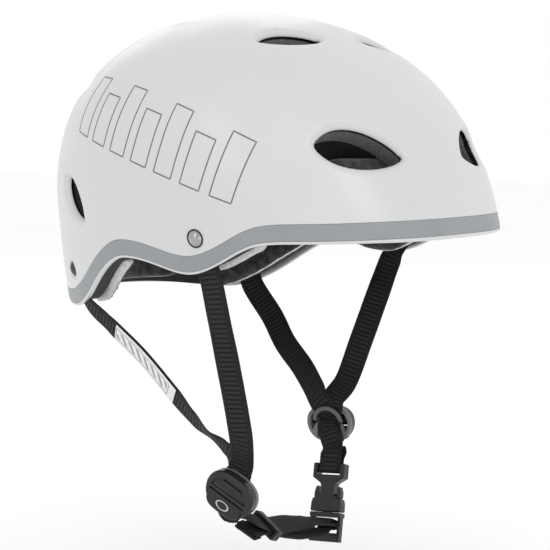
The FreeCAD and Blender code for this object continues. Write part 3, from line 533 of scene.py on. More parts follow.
def onto_vent_edge(points, normals, vent, side):
    """Moves the points that lie inside one vent out onto its outline."""
    d, a_dir, b_dir, a, b = vent_field(points, normals, vent, side)
    half_a, half_b, blunt = vent[2:]
    mine = d < 0.0
    c = np.clip(a / half_a, -0.995, 0.995)
    reach = half_b * np.sqrt(1 - c * c) ** (1 + VENT_TAPER) * (1 + blunt * c)
    tip = np.abs(c) > 0.93
    new_b = np.where(tip, b, np.sign(b) * reach)
    grow = np.where(tip, 1.0 / np.maximum(1.0 + d / half_b, 0.3), 1.0)
    shift_b = np.outer(np.where(mine, new_b * grow - b, 0.0), b_dir)
    shift_a = np.outer(np.where(mine & tip, a * (grow - 1.0), 0.0), a_dir)
    return points + (shift_b + shift_a)


def points_used(faces, count):
    used = np.zeros(count, bool)
    for face in faces:
        used[list(face)] = True
    return used


def open_edges(faces):
    """Edges that belong to one face only, in that face's direction."""
    edges = {}
    for face in faces:
        for i, a in enumerate(face):
            b = face[(i + 1) % len(face)]
            key = (a, b) if a < b else (b, a)
            edges[key] = None if key in edges else (a, b)
    return [edge for edge in edges.values() if edge]


def build_skin(psi, rim):
    points, depth, count = skin_points(psi, rim)
    normals = dome_normal(points)
    normals[-1] = (0, 0, 1)
    normals[~np.isfinite(normals).all(axis=1)] = (0, 0, 1)
    faces = quads_between(count, SKIN_COLUMNS)
    top = len(points) - 1
    base = (count - 1) * SKIN_COLUMNS
    faces += [(base + c, base + (c + 1) % SKIN_COLUMNS, top) for c in range(SKIN_COLUMNS)]

    openings = [(vent, 1.0) for vent in VENTS + (BACK_VENT,)] + [(vent, -1.0) for vent in VENTS]
    field = np.full(len(points), FAR)
    for vent, side in openings:
        field = np.minimum(field, vent_field(points, normals, vent, side)[0])
    inside = field < 0.0
    kept = [f for f in faces if not all(inside[v] for v in f)]
    move = points_used(kept, len(points)) & inside
    for vent, side in openings:
        points[move] = onto_vent_edge(points[move], normals[move], vent, side)
    field[move] = 0.0
    depth = depth + DISH_DEPTH * (1.0 - smooth(field / DISH_MARGIN))
    lip = np.clip(1.0 - field / LIP_R, 0.0, 1.0)
    depth += LIP_R * (1.0 - np.sqrt(1.0 - lip * lip))
    y, z = REAR_RIVET
    for side in (1.0, -1.0):
        spot = np.array([side * float(dome_x(y, z)), y, z])
        r = np.linalg.norm(points - spot, axis=1)
        depth += CUP_DEPTH * (1.0 - smooth((r - CUP_R + CUP_EASE) / (2 * CUP_EASE)))
    depth -= swell_at(points)
    outer = points - normals * depth[:, None]
    inner_depth = np.maximum(SHELL_T + 0.2, depth + 0.35)
    inner = points - normals * inner_depth[:, None]
    offset = len(points)
    walls = [(b, a, a + offset, b + offset) for a, b in open_edges(kept)]
    inside_faces = [tuple(v + offset for v in reversed(f)) for f in kept]
    verts = np.vstack([outer, inner])
    all_faces = kept + walls + inside_faces
    used = points_used(all_faces, len(verts))
    index = np.cumsum(used) - 1
    faces = [tuple(int(index[v]) for v in f) for f in all_faces]
    skin = new_object("shell_skin", verts[used], faces, SHELL)
    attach(skin, "root")
    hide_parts("outer_shell")


def build_band(psi, rim):
    """The grey band with rolled edges, flush in its recess."""
    roll = ((0.06, RECESS_DEPTH - 0.05), (0.06, 0.35), (0.22, 0.10), (BAND_ROLL, 0.0))
    flat = BAND_HIGH - BAND_LOW - 2 * BAND_ROLL
    profile = [(BAND_LOW + off, d) for off, d in roll]
    profile += [(BAND_LOW + BAND_ROLL + flat * i / 8.0, 0.0) for i in range(1, 8)]
    profile += [(BAND_HIGH - off, d) for off, d in reversed(roll)]
    verts = []
    for off, d in profile:
        p = dome_point(psi, rim + off)
        verts.append(p - dome_normal(p) * d)
    faces = quads_between(len(profile), SKIN_COLUMNS)
    last = (len(profile) - 1) * SKIN_COLUMNS
    for c in range(SKIN_COLUMNS):
        d = (c + 1) % SKIN_COLUMNS
        faces.append((last + c, last + d, d, c))
    band = new_object("rim_band", np.concatenate(verts), faces, BAND)
    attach(band, "root")
    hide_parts("edge_band")


# ---- outlined shapes on the sides
GRAPHIC_BARS = 7
GRAPHIC_PITCH = 0.14896  # share of the row's length from one bar to the next
GRAPHIC_BAR = 0.098  # share of the row's length that a bar takes
GRAPHIC_SHORT = 0.22  # share of its height by which every other bar is shorter
GRAPHIC_TOP = ((40.0, 82.0), (-12.0, 77.5), (-71.0, 48.5))
GRAPHIC_FOOT = ((52.0, 52.0), (4.0, 36.5), (-60.0, 17.0))
GRAPHIC_W = 0.75
GRAPHIC_LIFT = 0.05
GRAPHIC_ROOT = 0.3


def along_row(row, share):
    """Point (y, z) of a gently curved row of three points."""
    a, b, c = (np.array(p) for p in row)
    return a * (1 - share) ** 2 + b * 2 * share * (1 - share) + c * share ** 2


def graphic_bars():
    """Slanted bars whose tops step down and up in turn, so that they read as a plain pattern."""
    bars = []
    for i in range(GRAPHIC_BARS):
        low = i * GRAPHIC_PITCH
        high = low + GRAPHIC_BAR
        top = [along_row(GRAPHIC_TOP, u) for u in (low, high)]
        foot = [along_row(GRAPHIC_FOOT, u) for u in (low, high)]
        short = GRAPHIC_SHORT if i % 2 else 0.0
        top = [t + (f - t) * short for t, f in zip(top, foot)]
        bars.append((top[0], top[1], foot[1], foot[0]))
    return bars


def build_graphics():
    for side, side_name in ((-1.0, "right"), (1.0, "left")):
        verts = []
        faces = []
        for shape in graphic_bars():
            corners = np.array(shape)
            loop = []
            for i in range(len(corners)):
                a = corners[i]
                b = corners[(i + 1) % len(corners)]
                steps = max(int(np.linalg.norm(b - a) / 1.0), 2)
                for k in range(steps):
                    loop.append(a + (b - a) * k / steps)
            loop = np.array(loop)
            x = side * dome_x(loop[:, 0], loop[:, 1])
            p = np.stack([x, loop[:, 0], loop[:, 1]], -1)
            n = dome_normal(p)
            p = p + n * swell_at(p)[:, None]
            t = np.roll(p, -1, axis=0) - np.roll(p, 1, axis=0)
            t /= np.linalg.norm(t, axis=1, keepdims=True)
            w = np.cross(n, t)
            base = len(verts)
            count = len(p)
            for i in range(count):
                lift = n[i] * GRAPHIC_LIFT
                verts.append(p[i] + lift - w[i] * GRAPHIC_W / 2)
                verts.append(p[i] + lift + w[i] * GRAPHIC_W / 2)
                verts.append(p[i] - n[i] * GRAPHIC_ROOT)
            for i in range(count):
                j = (i + 1) % count
                a = base + 3 * i
                b = base + 3 * j
                faces += [(a, b, b + 1, a + 1), (a + 1, b + 1, b + 2, a + 2), (a + 2, b + 2, b, a)]
        graphic = new_object("side_graphic_" + side_name, verts, faces, GRAPHIC, shade=False)
        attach(graphic, "root")


# ---- harness webbing
STRAP_W = 15.0
STRAP_T = 1.2
STRAP_INSET = 4.1
LAYER_PITCH = 1.3
RIB_PITCH = 2.7
RIB_ZONE = 4.7
CHIN_W = 14.6  # pulled a little narrower and thinner through the keeper
CHIN_T = 0.95
RIBBON_STEP = 0.45
EDGE_LOOP = 0.085  # selvedge loops: share of the width, per mm of relief
EDGE_PITCH = 1.7
EDGE_FROM = 0.45  # share of the width beyond which the loops begin
RIBBON_POINTS = 27  # points across a strap
RELIEF = 0.26
WHOLE = 1000.0  # step so long that a path keeps only its control points


def free(x, y, z, n):
    return Vector((x, y, z)), Vector(n).normalized()


def on_wall(y, z, side):
    """Control point of a strap that lies against the inside of the shell."""
    x = side * float(dome_x(y, z, STRAP_INSET))
    p = np.array([x, y, z])
    return Vector(p), Vector(dome_normal(p, STRAP_INSET))


def catmull(points, step):
    """Smooth path through control points (position, normal), sampled about every step mm."""
    ends = [(points[0][0] * 2 - points[1][0], points[0][1])]
    ends += list(points)
    ends.append((points[-1][0] * 2 - points[-2][0], points[-1][1]))
    samples = []
    for i in range(1, len(ends) - 2):
        p0, p1, p2, p3 = [ends[i + k][0] for k in (-1, 0, 1, 2)]
        d1 = max((p1 - p0).length, 1e-6) ** 0.5
        d2 = max((p2 - p1).length, 1e-6) ** 0.5
        d3 = max((p3 - p2).length, 1e-6) ** 0.5
        m1 = ((p1 - p0) / d1 - (p2 - p0) / (d1 + d2) + (p2 - p1) / d2) * d2
        m2 = ((p2 - p1) / d2 - (p3 - p1) / (d2 + d3) + (p3 - p2) / d3) * d2
        count = max(1, int(math.ceil((p2 - p1).length / step)))
        for k in range(count):
            t = k / float(count)
            a = 2 * t ** 3 - 3 * t ** 2 + 1
            b = t ** 3 - 2 * t ** 2 + t
            c = -2 * t ** 3 + 3 * t ** 2
            d = t ** 3 - t ** 2
            ease = t * t * (3 - 2 * t)
            normal = ends[i][1] * (1 - ease) + ends[i + 1][1] * ease
            samples.append((p1 * a + m1 * b + p2 * c + m2 * d, normal))
    samples.append(points[-1])
    return samples


def strap_frames(points, step):
    """Place, direction, facing and width axis at each sample of a path."""
    samples = catmull(points, step)
    frames = []
    for i, (p, normal) in enumerate(samples):
        before = samples[max(i - 1, 0)][0]
        after = samples[min(i + 1, len(samples) - 1)][0]
        t = (after - before).normalized()
        n = (normal - t * normal.dot(t)).normalized()
        frames.append((p, t, n, n.cross(t)))
    return frames


class Fitting:
    """Axes of a strap fitting: u across the strap, v up it, n away from the head."""

    def __init__(self, centre, yaw, tilt, sign, lean=None):
        self.c = Vector(centre)
        yaw = math.radians(yaw)
        tilt = math.radians(tilt) * sign
        self.n = Vector((sign * math.cos(yaw), sign * math.sin(yaw), 0))
        self.u = UP.cross(self.n) * math.cos(tilt) + UP * math.sin(tilt)
        self.v = self.n.cross(self.u)
        if lean is not None:
            self.v = Vector(lean).normalized()
            self.n = (self.n - self.v * self.n.dot(self.v)).normalized()
            self.u = self.v.cross(self.n)

    def at(self, u, v, n):
        return self.c + self.u * u + self.v * v + self.n * n


RIGHT = Fitting((-74.0, -38.5, -144.0), 11.0, 27.0, -1.0)
LEFT = Fitting((54.5, -8.0, -131.0), 11.0, -3.0, 1.0)
BUCKLE = Fitting((46.0, -16.6, -154.0), 8.0, 0.0, 1.0, (0.31, 0.145, 0.94))
WEAVE = (
    (24.0, -2.7), (16.5, -2.65), (11.8, -2.65), (9.7, -2.55), (8.5, -1.9), (6.8, 0.0),
    (5.2, 1.9), (3.9, 2.55), (2.5, 2.7), (0.9, 2.35), (-1.8, 1.1), (-4.2, -0.2),
    (-6.6, -1.6), (-8.7, -2.5), (-10.6, -2.65), (-12.8, -2.7))
RIGHT_FRONT_WALL = ((-35.5, 9.0), (-36.0, -2.0), (-37.5, -12.0), (-39.0, -21.0))
RIGHT_FRONT_FREE = (
    (-91.8, -42.0, -45.7, (-1.0, -0.12, -0.1)),
    (-86.0, -43.7, -70.4, (-1.0, -0.2, -0.1)),
    (-79.4, -45.2, -99.0, (-1.0, -0.2, -0.1)),
    (-76.5, -45.6, -113.0, (-1.0, -0.2, 0.0)))
RIGHT_REAR_WALL = ((82.5, -19.0), (81.5, -29.4), (78.5, -40.0), (74.5, -49.5))
RIGHT_REAR_FREE = (
    (-73.5, 62.5, -59.0, (-0.90, 0.30, -0.30)),
    (-72.5, 54.5, -64.6, (-0.93, 0.22, -0.30)),
    (-72.0, 32.6, -78.2, (-0.93, 0.20, -0.30)),
    (-72.0, 7.6, -96.8, (-0.93, 0.20, -0.30)),
    (-71.6, -6.0, -107.6, (-0.86, 0.28, -0.40)),
    (-71.0, -18.6, -115.6, (-0.66, 0.46, -0.58)),
    (-70.4, -29.5, -121.0, (-0.82, 0.26, -0.42)),
    (-70.0, -36.6, -126.6, (-0.95, -0.08, -0.18)))
LEFT_FRONT_WALL = ((-36.5, 9.0), (-36.0, -2.0), (-31.0, -12.0), (-25.5, -21.0))
LEFT_FRONT_FREE = (
    (95.3, -22.2, -31.0, (0.98, 0.20, 0.0)),
    (85.4, -19.6, -53.7, (0.90, 0.42, 0.0)),
    (75.1, -16.4, -78.8, (0.88, 0.45, 0.0)),
    (63.6, -13.0, -105.0, (0.95, 0.30, 0.0)))
LEFT_REAR_WALL = ((82.5, -19.0), (81.5, -29.4), (79.0, -40.0), (76.0, -49.5))
LEFT_REAR_FREE = (
    (74.9, 56.5, -71.6, (0.86, 0.46, -0.22)),
    (70.4, 42.0, -86.5, (0.88, 0.42, -0.24)),
    (64.5, 22.5, -99.8, (0.90, 0.38, -0.22)),
    (54.5, 4.5, -110.8, (0.94, 0.30, -0.15)),
    (49.7, -3.0, -116.2, (0.97, 0.20, -0.05)))
BUCKLE_LOOP = (
    (7.0, -2.0, 0.0, 1.0), (3.0, -2.05, 0.0, 1.0), (-1.2, -2.05, 0.0, 1.0),
    (-3.6, -2.1, 0.0, 1.0), (-4.8, -1.7, 0.5, 0.8), (-5.4, -0.9, 0.9, 0.4),
    (-5.6, 0.0, 1.0, 0.0), (-5.4, 0.9, 0.9, -0.4), (-4.8, 1.7, 0.5, -0.8),
    (-3.6, 2.1, 0.0, -1.0), (-1.2, 2.05, 0.0, -1.0), (3.0, 2.05, 0.0, -1.0))
LOOP_RETURN = ((-17.5, -2.7), (-15.0, -3.0))
CHIN_MAIN = (
    (-66.9, -39.5, -159.2, (-0.82, 0.08, -0.56)),
    (-57.0, -39.6, -163.4, (-0.55, 0.35, -0.70)),
    (-50.0, -38.2, -166.2, (-0.42, 0.45, -0.75)),
    (-43.0, -36.8, -169.0, (-0.42, 0.45, -0.75)),
    (-36.0, -35.4, -171.8, (-0.42, 0.45, -0.75)),
    (-14.0, -29.8, -176.2, (-0.25, 0.45, -0.85)),
    (10.0, -25.4, -181.0, (-0.10, 0.25, -1.0)),
    (24.0, -23.2, -184.4, (-0.10, 0.15, -1.0)))
LOCK_WRAP = (
    (-34.6, -5.5, -1.0, 0.0), (-34.9, -2.2, -1.0, 0.0), (-35.0, 0.0, -1.0, -0.1),
    (-35.5, 1.5, -0.6, -0.7), (-36.5, 2.05, 0.0, -1.0), (-37.6, 2.1, 0.0, -1.0),
    (-38.7, 2.05, 0.0, -1.0), (-39.9, 1.5, 0.6, -0.7), (-40.6, 0.0, 1.0, -0.1),
    (-40.8, -2.2, 1.0, 0.0), (-41.2, -5.5, 1.0, 0.0))
CHIN_TAIL = (
    (24.0, -23.4, -190.4, (0.10, -0.15, 1.0)),
    (10.0, -25.6, -188.2, (0.10, -0.25, 1.0)),
    (-14.0, -30.0, -181.4, (0.25, -0.45, 0.85)),
    (-36.0, -35.4, -173.5, (0.42, -0.45, 0.75)),
    (-43.0, -36.8, -170.6, (0.42, -0.45, 0.75)),
    (-50.0, -38.2, -168.4, (0.38, -0.40, 0.80)),
    (-54.5, -38.8, -168.0, (0.30, -0.36, 0.86)),
    (-57.5, -39.2, -167.8, (0.26, -0.34, 0.88)))
# fitting, side, path on the wall and in the air, top and foot of the weave, layer in the stack
STRAPS = (
    ("right_front_strap", RIGHT, -1.0, RIGHT_FRONT_WALL, RIGHT_FRONT_FREE, 16.5, -8.7, 0.5),
    ("right_rear_strap", RIGHT, -1.0, RIGHT_REAR_WALL, RIGHT_REAR_FREE, 11.8, -8.7, -0.5),
    ("left_front_strap", LEFT, 1.0, LEFT_FRONT_WALL, LEFT_FRONT_FREE, 16.5, -12.8, 0.5),
    ("left_rear_strap", LEFT, 1.0, LEFT_REAR_WALL, LEFT_REAR_FREE, 11.8, -12.8, -0.5))
UNDER_LAYER = -1.5
LABEL_SPAN = (5, 8)  # control points of the right rear strap that the label covers
LABEL_W = 12.4
LABEL_T = 0.5
LABEL_GAP = 0.12
RUN_IN_SHARE = 0.5  # how much of the sideways step to a free strap is taken up
RUN_IN_FROM = 2.0  # height on the divider where that begins
RUN_OUT_LOW = 6.0  # height over the buckle where the straps are fully centred
RUN_OUT_LEN = 21.0
FOLD_LEN = 8.0
FOLD_T = 3.6
FOLD_PULL = 0.93  # the lanes of the roll stop a little short of its length
FOLD_START = 0.3
FOLD_TURN = 0.6  # how far a turn of the roll bulges
FOLD_STEPS = 8


def shift(fitting, first, last, offset):
    """Stretch of the weave through a divider, moved by a stack offset square to its path."""
    points = [(fitting.at(0, v, n), fitting.n) for v, n in WEAVE if last <= v <= first]
    return [(p + n * offset, fitting.n) for p, t, n, w in strap_frames(points, WHOLE)]


def run_in(fitting, lead, weave):
    """Weave stretch slid sideways at its top, towards where the strap comes from."""
    top = (weave[0][0] - fitting.c).dot(fitting.v)
    side = (Vector(lead[:3]) - fitting.c).dot(fitting.u) * RUN_IN_SHARE
    out = []
    for p, n in weave:
        share = smooth(((p - fitting.c).dot(fitting.v) - RUN_IN_FROM) / (top - RUN_IN_FROM))
        out.append((p + fitting.u * side * float(share), n))
    return out


def run_out(points):
    """Stretch below the left divider slid over the middle of the buckle."""
    out = []
    for p, n in points:
        gap = p - BUCKLE.c
        share = 1.0 - smooth((gap.dot(BUCKLE.v) - RUN_OUT_LOW) / RUN_OUT_LEN)
        out.append((p - BUCKLE.u * gap.dot(BUCKLE.u) * float(share), n))
    return out


def around(fitting, route):
    """Path round a bar of a fitting, its normals given in the fitting's own axes."""
    return [(fitting.at(0, v, n), fitting.v * nv + fitting.n * nn) for v, n, nv, nn in route]


def relief(s, w):
    """Weave relief from 0 in a groove to 1 on a thread, at s along and w across the strap."""
    side = np.abs(w)
    ribs = 0.5 + 0.5 * np.cos(2 * np.pi * s / RIB_PITCH)
    ribs = smooth((ribs - 0.15) / 0.7)
    slant = 0.5 + 0.5 * np.cos(2 * np.pi * (s - side * 1.2) / EDGE_PITCH)
    cord = 0.5 + 0.5 * np.cos(2 * np.pi * (side - 5.9) / 1.5)
    edge = 0.35 * cord + 0.65 * slant * cord
    centre = smooth((RIB_ZONE + 0.35 - side) / 0.7)
    return ribs * centre + edge * (1 - centre)


def ribbon(name, points, material=WEBBING, width=STRAP_W, thick=STRAP_T, lift=0.0,
           amount=RELIEF):
    """Webbing with real cross ribs and bound edges, both faces."""
    frames = strap_frames(points, RIBBON_STEP)
    across = np.linspace(-width / 2, width / 2, RIBBON_POINTS)
    body = (1.0 - (np.abs(across) / (width / 2 + 0.02)) ** 7) ** 0.5
    verts, values, alongs, acrosses = [], [], [], []
    s = 0.0
    last = None
    for p, t, n, w in frames:
        if last is not None:
            s += (p - last).length
        last = p
        r = relief(s, across)
        half = thick / 2 * body + (r - 0.6) * amount * body
        loops = 1.0 + amount * EDGE_LOOP * math.cos(2 * math.pi * s / EDGE_PITCH)
        spread = across * np.where(np.abs(across) > width * EDGE_FROM, loops, 1.0)
        p = np.array(p + n * lift)
        n, w = np.array(n), np.array(w)
        top = p + np.outer(spread, w) + np.outer(half, n)
        low = p + np.outer(spread, w) - np.outer(half, n)
        verts += [top, low[::-1]]
        values += [r, r[::-1]]
        alongs.append(np.full(2 * len(across), s))
        acrosses += [across, across[::-1]]
    faces = capped(len(frames), 2 * len(across))
    obj = new_object(name, np.concatenate(verts), faces, material)
    for key, rows in (("relief", values), ("along", alongs), ("across", acrosses)):
        set_attribute(obj, key, np.concatenate(rows))
    return obj


def strap_route(fitting, side, wall, loose, first, last, layer):
    """Path of a strap from its rivet, down inside the shell and through the air to its fitting."""
    weave = run_in(fitting, loose[-1], shift(fitting, first, last, layer * LAYER_PITCH))
    if fitting is LEFT:
        weave = run_out(weave)
    return [on_wall(y, z, side) for y, z in wall] + [free(*p) for p in loose] + weave


def build_harness():
    routes = {name: strap_route(*facts) for name, *facts in STRAPS}
    routes["buckle_strap"] = run_out(shift(LEFT, 0.9, -12.8, UNDER_LAYER * LAYER_PITCH))
    routes["buckle_strap"] += around(BUCKLE, BUCKLE_LOOP)
    routes["buckle_strap"] += run_out([(LEFT.at(0, v, n), -LEFT.n) for v, n in LOOP_RETURN])
    for node, points in routes.items():
        strap = ribbon("web_" + node, points)
        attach(strap, "root")
        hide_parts(node)
    chin = shift(RIGHT, 0.9, -12.8, UNDER_LAYER * LAYER_PITCH) + [free(*p) for p in CHIN_MAIN]
    chin += around(BUCKLE, LOCK_WRAP) + [free(*p) for p in CHIN_TAIL]
    strap = ribbon("web_chin_strap", chin, width=CHIN_W, thick=CHIN_T)
    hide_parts("chin_strap")
    end = BUCKLE.at(0, -36.0, 0) * MM
    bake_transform(strap)
    label_points = routes["right_rear_strap"][LABEL_SPAN[0]:LABEL_SPAN[1]]
    label = ribbon("label_patch", label_points, LABEL, LABEL_W, LABEL_T,
                   (STRAP_T + LABEL_T) / 2 + LABEL_GAP, amount=0.02)
    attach(label, "root")
    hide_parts("reflective_label")
    end, n = free(*CHIN_TAIL[-1])
    t = (end - Vector(CHIN_TAIL[-2][:3])).normalized()
    n = (n - t * n.dot(t)).normalized()
    rolled_end(end, t, n)


def rolled_end(end, t, n):
    """The strap's end turned over twice: a flat spiral with its edges showing."""
    spiral = []
    lanes = ((-0.36, 0.1, 1.0), (0.0, 1.0, 0.12), (0.36, 0.12, 1.0))
    for k, (level, a, b) in enumerate(lanes):
        for i in range(FOLD_STEPS + 1):
            share = i / FOLD_STEPS
            x = FOLD_LEN * (a + (b - a) * share) * FOLD_PULL + FOLD_START
            facing = n if k % 2 == 0 else -n
            spiral.append((end + t * x + n * FOLD_T * level, facing))
        if k < 2:
            turn = FOLD_LEN * b * FOLD_PULL + FOLD_START
            out = t if b > 0.5 else -t
            rise = n * FOLD_T * (level + 0.18)
            spiral.append((end + t * turn + out * FOLD_TURN + rise, out))
    roll = ribbon("web_strap_end", spiral, thick=1.0, amount=0.16)
    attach(roll, "root")
    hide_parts("chin_strap_end")


# ---- comfort pads
PADS = ("front_pad", "rear_centre_pad", "crown_pad", "right_side_pad", "right_rear_pad",
        "left_side_pad", "left_rear_pad")
PAD_VOXEL = 0.0022
PAD_FABRIC = 3.6  # how far from the inner face the fabric reaches
PUFF_PRESSURE = 3.0
PUFF_TENSION = 30.0
PUFF_FRAMES = 8
PUFF_LIMIT = 0.0011  # the most that a point may move


def applied(obj):
    """Replaces an object's mesh by its mesh with every modifier applied."""
    graph = bpy.context.evaluated_depsgraph_get()
    mesh = bpy.data.meshes.new_from_object(obj.evaluated_get(graph))
    obj.modifiers.clear()
    old = obj.data
    obj.data = mesh
    bpy.data.meshes.remove(old)


def points_of(obj):
    co = np.zeros(len(obj.data.vertices) * 3)
    obj.data.vertices.foreach_get("co", co)
    return co.reshape(-1, 3)


def inset_of(p):
    """How far below the shell's outer face each point lies, in mm."""
    return halved(np.full(len(p), 8.0), 32.0, 18, lambda inset: dome_value(p, inset) < 0)


def build_pad(name):
    """One pad from its foam and its fabric, joined, rounded and puffed."""
    parts = [NODES[name + "_foam"], NODES[name + "_fabric"]]
    verts, faces = [], []
    for part in parts:
        base = sum(len(v) for v in verts)
        verts.append(points_of(part) / MM)
        faces += [tuple(base + i for i in poly.vertices) for poly in part.data.polygons]
    pad = new_object("soft_" + name, np.concatenate(verts), faces)
    rough = pad.modifiers.new("remesh", "REMESH")
    rough.mode = "VOXEL"
    rough.voxel_size = PAD_VOXEL
    relax = pad.modifiers.new("relax", "SMOOTH")
    relax.iterations = 10
    relax.factor = 0.6
    applied(pad)
    puff(pad)
    fine = pad.modifiers.new("fine", "SUBSURF")
    fine.levels = 1
    fine.render_levels = 1
    applied(pad)
    p = points_of(pad) / MM
    depth = inset_of(p)
    face = smooth((depth - (PAD_IN - PAD_FABRIC)) / 1.4)
    if name == "front_pad":    # its fabric also covers the upper edge
        face = np.maximum(face, smooth((p[:, 2] - 10.0) / 4.0))
    set_attribute(pad, "face", face)
    pad.data.polygons.foreach_set("use_smooth", [True] * len(pad.data.polygons))
    pad.data.materials.append(PAD)
    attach(pad, "root")
    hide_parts(name + "_foam", name + "_fabric")


def puff(pad):
    """A short cloth run with inside pressure, so that the cover crowns between its edges."""
    start = points_of(pad)
    cloth = pad.modifiers.new("cloth", "CLOTH")
    cloth.settings.use_pressure = True
    cloth.settings.uniform_pressure_force = PUFF_PRESSURE
    cloth.settings.effector_weights.gravity = 0.0
    cloth.settings.tension_stiffness = PUFF_TENSION
    cloth.point_cache.frame_start = 1
    cloth.point_cache.frame_end = PUFF_FRAMES
    for k in range(1, PUFF_FRAMES + 1):
        SCENE.frame_set(k)
    applied(pad)
    SCENE.frame_set(1)
    move = points_of(pad) - start
    length = np.linalg.norm(move, axis=1, keepdims=True)
    end = start + move * np.minimum(1.0, PUFF_LIMIT / np.maximum(length, 1e-9))
    pad.data.vertices.foreach_set("co", end.ravel())
    pad.data.update()


# ---- carried-over CAD nodes
SIDE_LOOKS = (("_ear_rivet", CHROME), ("_rear_rivet", DARK_RIVET), ("_ear_washer", WASHER),
              ("_rear_washer", WASHER), ("_divider_lever", HARDWARE), ("_lever_pin", PIN))
WELD_GAP = 0.000002
EDGE_BEVEL = 0.0002


def finish_nodes():
    """Materials for the CAD nodes that stay, and soft edges on the moulded ones."""
    looks = {"foam_liner": LINER, "keeper_ring": RUBBER}
    for side, fitting in (("right", RIGHT), ("left", LEFT)):
        looks[side + "_divider"] = divider_material(side + "_divider", fitting)
        for part, material in SIDE_LOOKS:
            looks[side + part] = material
    for node in ("buckle_female", "buckle_male", "front_latch_prong", "rear_latch_prong"):
        looks[node] = HARDWARE
    for node, material in looks.items():
        obj = NODES[node]
        obj.data.materials.clear()
        obj.data.materials.append(material)
        if material in (HARDWARE, RUBBER) or node.endswith("_divider"):
            weld = obj.modifiers.new("weld", "WELD")
            weld.merge_threshold = WELD_GAP
            bevel = obj.modifiers.new("soft edges", "BEVEL")
            bevel.width = EDGE_BEVEL
            bevel.segments = 2
            bevel.limit_method = "ANGLE"
            bevel.angle_limit = math.radians(40)
            bevel.harden_normals = False


RING_STEPS = 40


def ring_mesh(name, material, place, size, stretch=(1.0, 1.0)):
    """Low raised ring, place being its centre and axes and size its radius, half width, height."""
    centre, u, v, n = place
    radius, half_w, height = size
    verts, faces = [], []
    for i in range(RING_STEPS):
        a = 2 * math.pi * i / RING_STEPS
        d = u * math.cos(a) * stretch[0] + v * math.sin(a) * stretch[1]
        for r, h in ((radius - half_w, 0.0), (radius - half_w * 0.6, height),
                     (radius + half_w * 0.6, height), (radius + half_w, 0.0)):
            verts.append(centre + d * r + n * h)
    for i in range(RING_STEPS):
        j = (i + 1) % RING_STEPS
        for k in range(4):
            m = (k + 1) % 4
            faces.append((4 * i + k, 4 * j + k, 4 * j + m, 4 * i + m))
    return new_object(name, verts, faces, material)


ARCH_R = 9.0
ARCH_V = 1.6
ARCH_LOW = 1.5
ARCH_LIFT = 3.5
ARCH_STEPS = 36
ARCH_SECTION = (
    (-1.3, -0.4), (-1.3, 0.2), (-0.9, 0.6), (0.9, 0.6), (1.3, 0.2), (1.3, -0.4),
    (0.9, -0.7), (-0.9, -0.7))
SEAT_RING = (4.75, 0.40, 0.5)  # radius, half width and height
MARK_RING = (3.1, 0.42, 0.12)
MARK_STRETCH = (1.25, 0.72)
MARK_V = -6.6  # place of the mark on its lever
MARK_N = 7.38


def build_arch():
    """Arched bar that bridges the straps on the head side of the left divider."""
    verts = []
    for i in range(ARCH_STEPS + 1):
        turn = math.pi * i / ARCH_STEPS
        out = LEFT.u * math.cos(turn) + LEFT.v * math.sin(turn)
        level = ARCH_LOW + ARCH_LIFT * math.sqrt(math.sin(turn))
        centre = LEFT.at(0, ARCH_V, -level) + out * ARCH_R
        for r, h in ARCH_SECTION:
            verts.append(centre + out * r - LEFT.n * h)
    faces = capped(ARCH_STEPS + 1, len(ARCH_SECTION))
    arch = new_object("left_divider_arch", verts, faces, ARCH_SHEEN_GREY)
    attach(arch, "root")


def build_marks():
    """A plain ring on each lever, and a dark ring round each ear rivet."""
    for fitting, side in ((RIGHT, "right"), (LEFT, "left")):
        place = (fitting.at(0, MARK_V, MARK_N), fitting.u, fitting.v, fitting.n)
        ring = ring_mesh(side + "_lever_mark", MARK, place, MARK_RING, MARK_STRETCH)
        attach(ring, side + "_lever")
    y, z = EAR_RIVET
    for side, name in ((-1.0, "right"), (1.0, "left")):
        p = np.array([side * float(dome_x(y, z)), y, z])
        n = Vector(dome_normal(p))
        u = n.cross(UP).normalized()
        place = (Vector(p), u, n.cross(u), n)
        seat = ring_mesh(name + "_rivet_seat", WASHER, place, SEAT_RING)
        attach(seat, "root")


# ---- stage
CAMERA_AT = (38.96, 6.58, 817.7, 0.97)  # plan angle, rise, distance, roll
CAMERA_AIM = (0.0, -5.4, -32.0)
LENS = 89.58
FLOOR_Z = -0.235
FLOOR_R = 6000.0
FLOOR_SIDES = 96
LIGHT_AIM = (0.0, 0.0, -0.03)
LIGHTS = (
    ("key", (-0.2, -1.5, 0.9), (0.7, 0.7), 3.2),      # place, size and power
    ("side", (-1.5, 0.1, 0.5), (0.4, 1.0), 1.6),
    ("rim", (0.9, 1.2, 0.9), (1.2, 0.8), 2.0),
    ("low", (-0.9, -1.1, -0.12), (0.7, 0.16), 0.8))


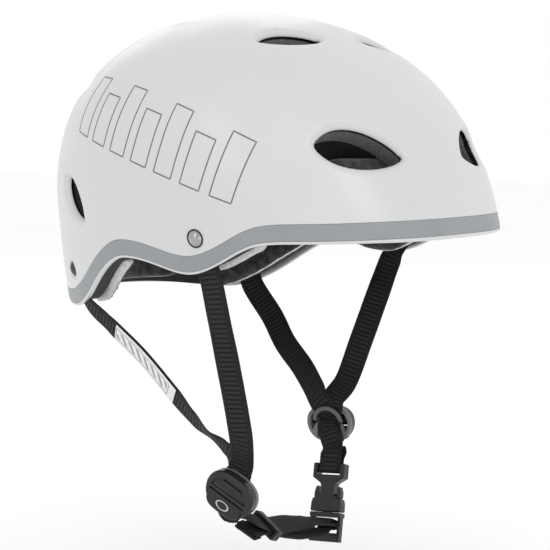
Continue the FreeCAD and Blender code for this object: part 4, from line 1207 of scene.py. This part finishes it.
def area_light(name, place, size, power):
    data = bpy.data.lights.new(name, "AREA")
    data.shape = "RECTANGLE"
    data.size, data.size_y = size
    data.energy = power
    obj = place_object(name, data)
    obj.location = place
    obj.rotation_euler = (Vector(LIGHT_AIM) - Vector(place)).to_track_quat("-Z", "Y").to_euler()


def build_camera():
    """Camera at a plan angle and rise round the aim point, rolled a little."""
    alpha, rise, distance, roll = CAMERA_AT
    alpha, rise, roll = (math.radians(v) for v in (alpha, rise, roll))
    back = Vector((-math.cos(alpha) * math.cos(rise), -math.sin(alpha) * math.cos(rise),
                   math.sin(rise)))
    right = Vector((math.sin(alpha), -math.cos(alpha), 0))
    up = back.cross(right)
    turned = right * math.cos(roll) + up * math.sin(roll)
    up = up * math.cos(roll) - right * math.sin(roll)
    data = bpy.data.cameras.new("camera")
    data.lens = LENS
    data.sensor_width = 36.0
    data.clip_start = 0.01
    data.clip_end = 50.0
    camera = place_object("camera", data)
    place = (Vector(CAMERA_AIM) + back * distance) * MM
    m = Matrix((turned, up, back)).transposed().to_4x4()
    m.translation = place
    camera.matrix_world = m
    SCENE.camera = camera


def build_stage():
    SCENE.view_settings.view_transform = "Standard"
    s = Shader("floor_pale")
    s.colour(s.mix(s.noise(3.0, 4.0), (0.96, 0.96, 0.96), (0.99, 0.99, 0.99)))
    s.bump(s.noise(160.0, 3.0), 0.0001)
    s.set(Roughness=0.8)
    ring = [(FLOOR_R * math.cos(a), FLOOR_R * math.sin(a), FLOOR_Z / MM)
            for a in [2 * math.pi * i / FLOOR_SIDES for i in range(FLOOR_SIDES)]]
    floor = new_object("floor", ring, [tuple(range(FLOOR_SIDES))], s.material, shade=False)

    world = bpy.data.worlds.new("studio")
    SCENE.world = world
    world.use_nodes = True
    sky = world.node_tree.nodes["Background"]
    sky.inputs["Color"].default_value = (1.0, 1.0, 1.0, 1.0)
    sky.inputs["Strength"].default_value = 1.0
    for light in LIGHTS:
        area_light(*light)


plan = 2 * np.pi * np.arange(SKIN_COLUMNS) / SKIN_COLUMNS
rim_line = rim_heights(plan)
build_skin(plan, rim_line)
build_band(plan, rim_line)
build_graphics()
build_harness()
for pad_name in PADS:
    build_pad(pad_name)
finish_nodes()
build_arch()
build_marks()
build_camera()
build_stage()
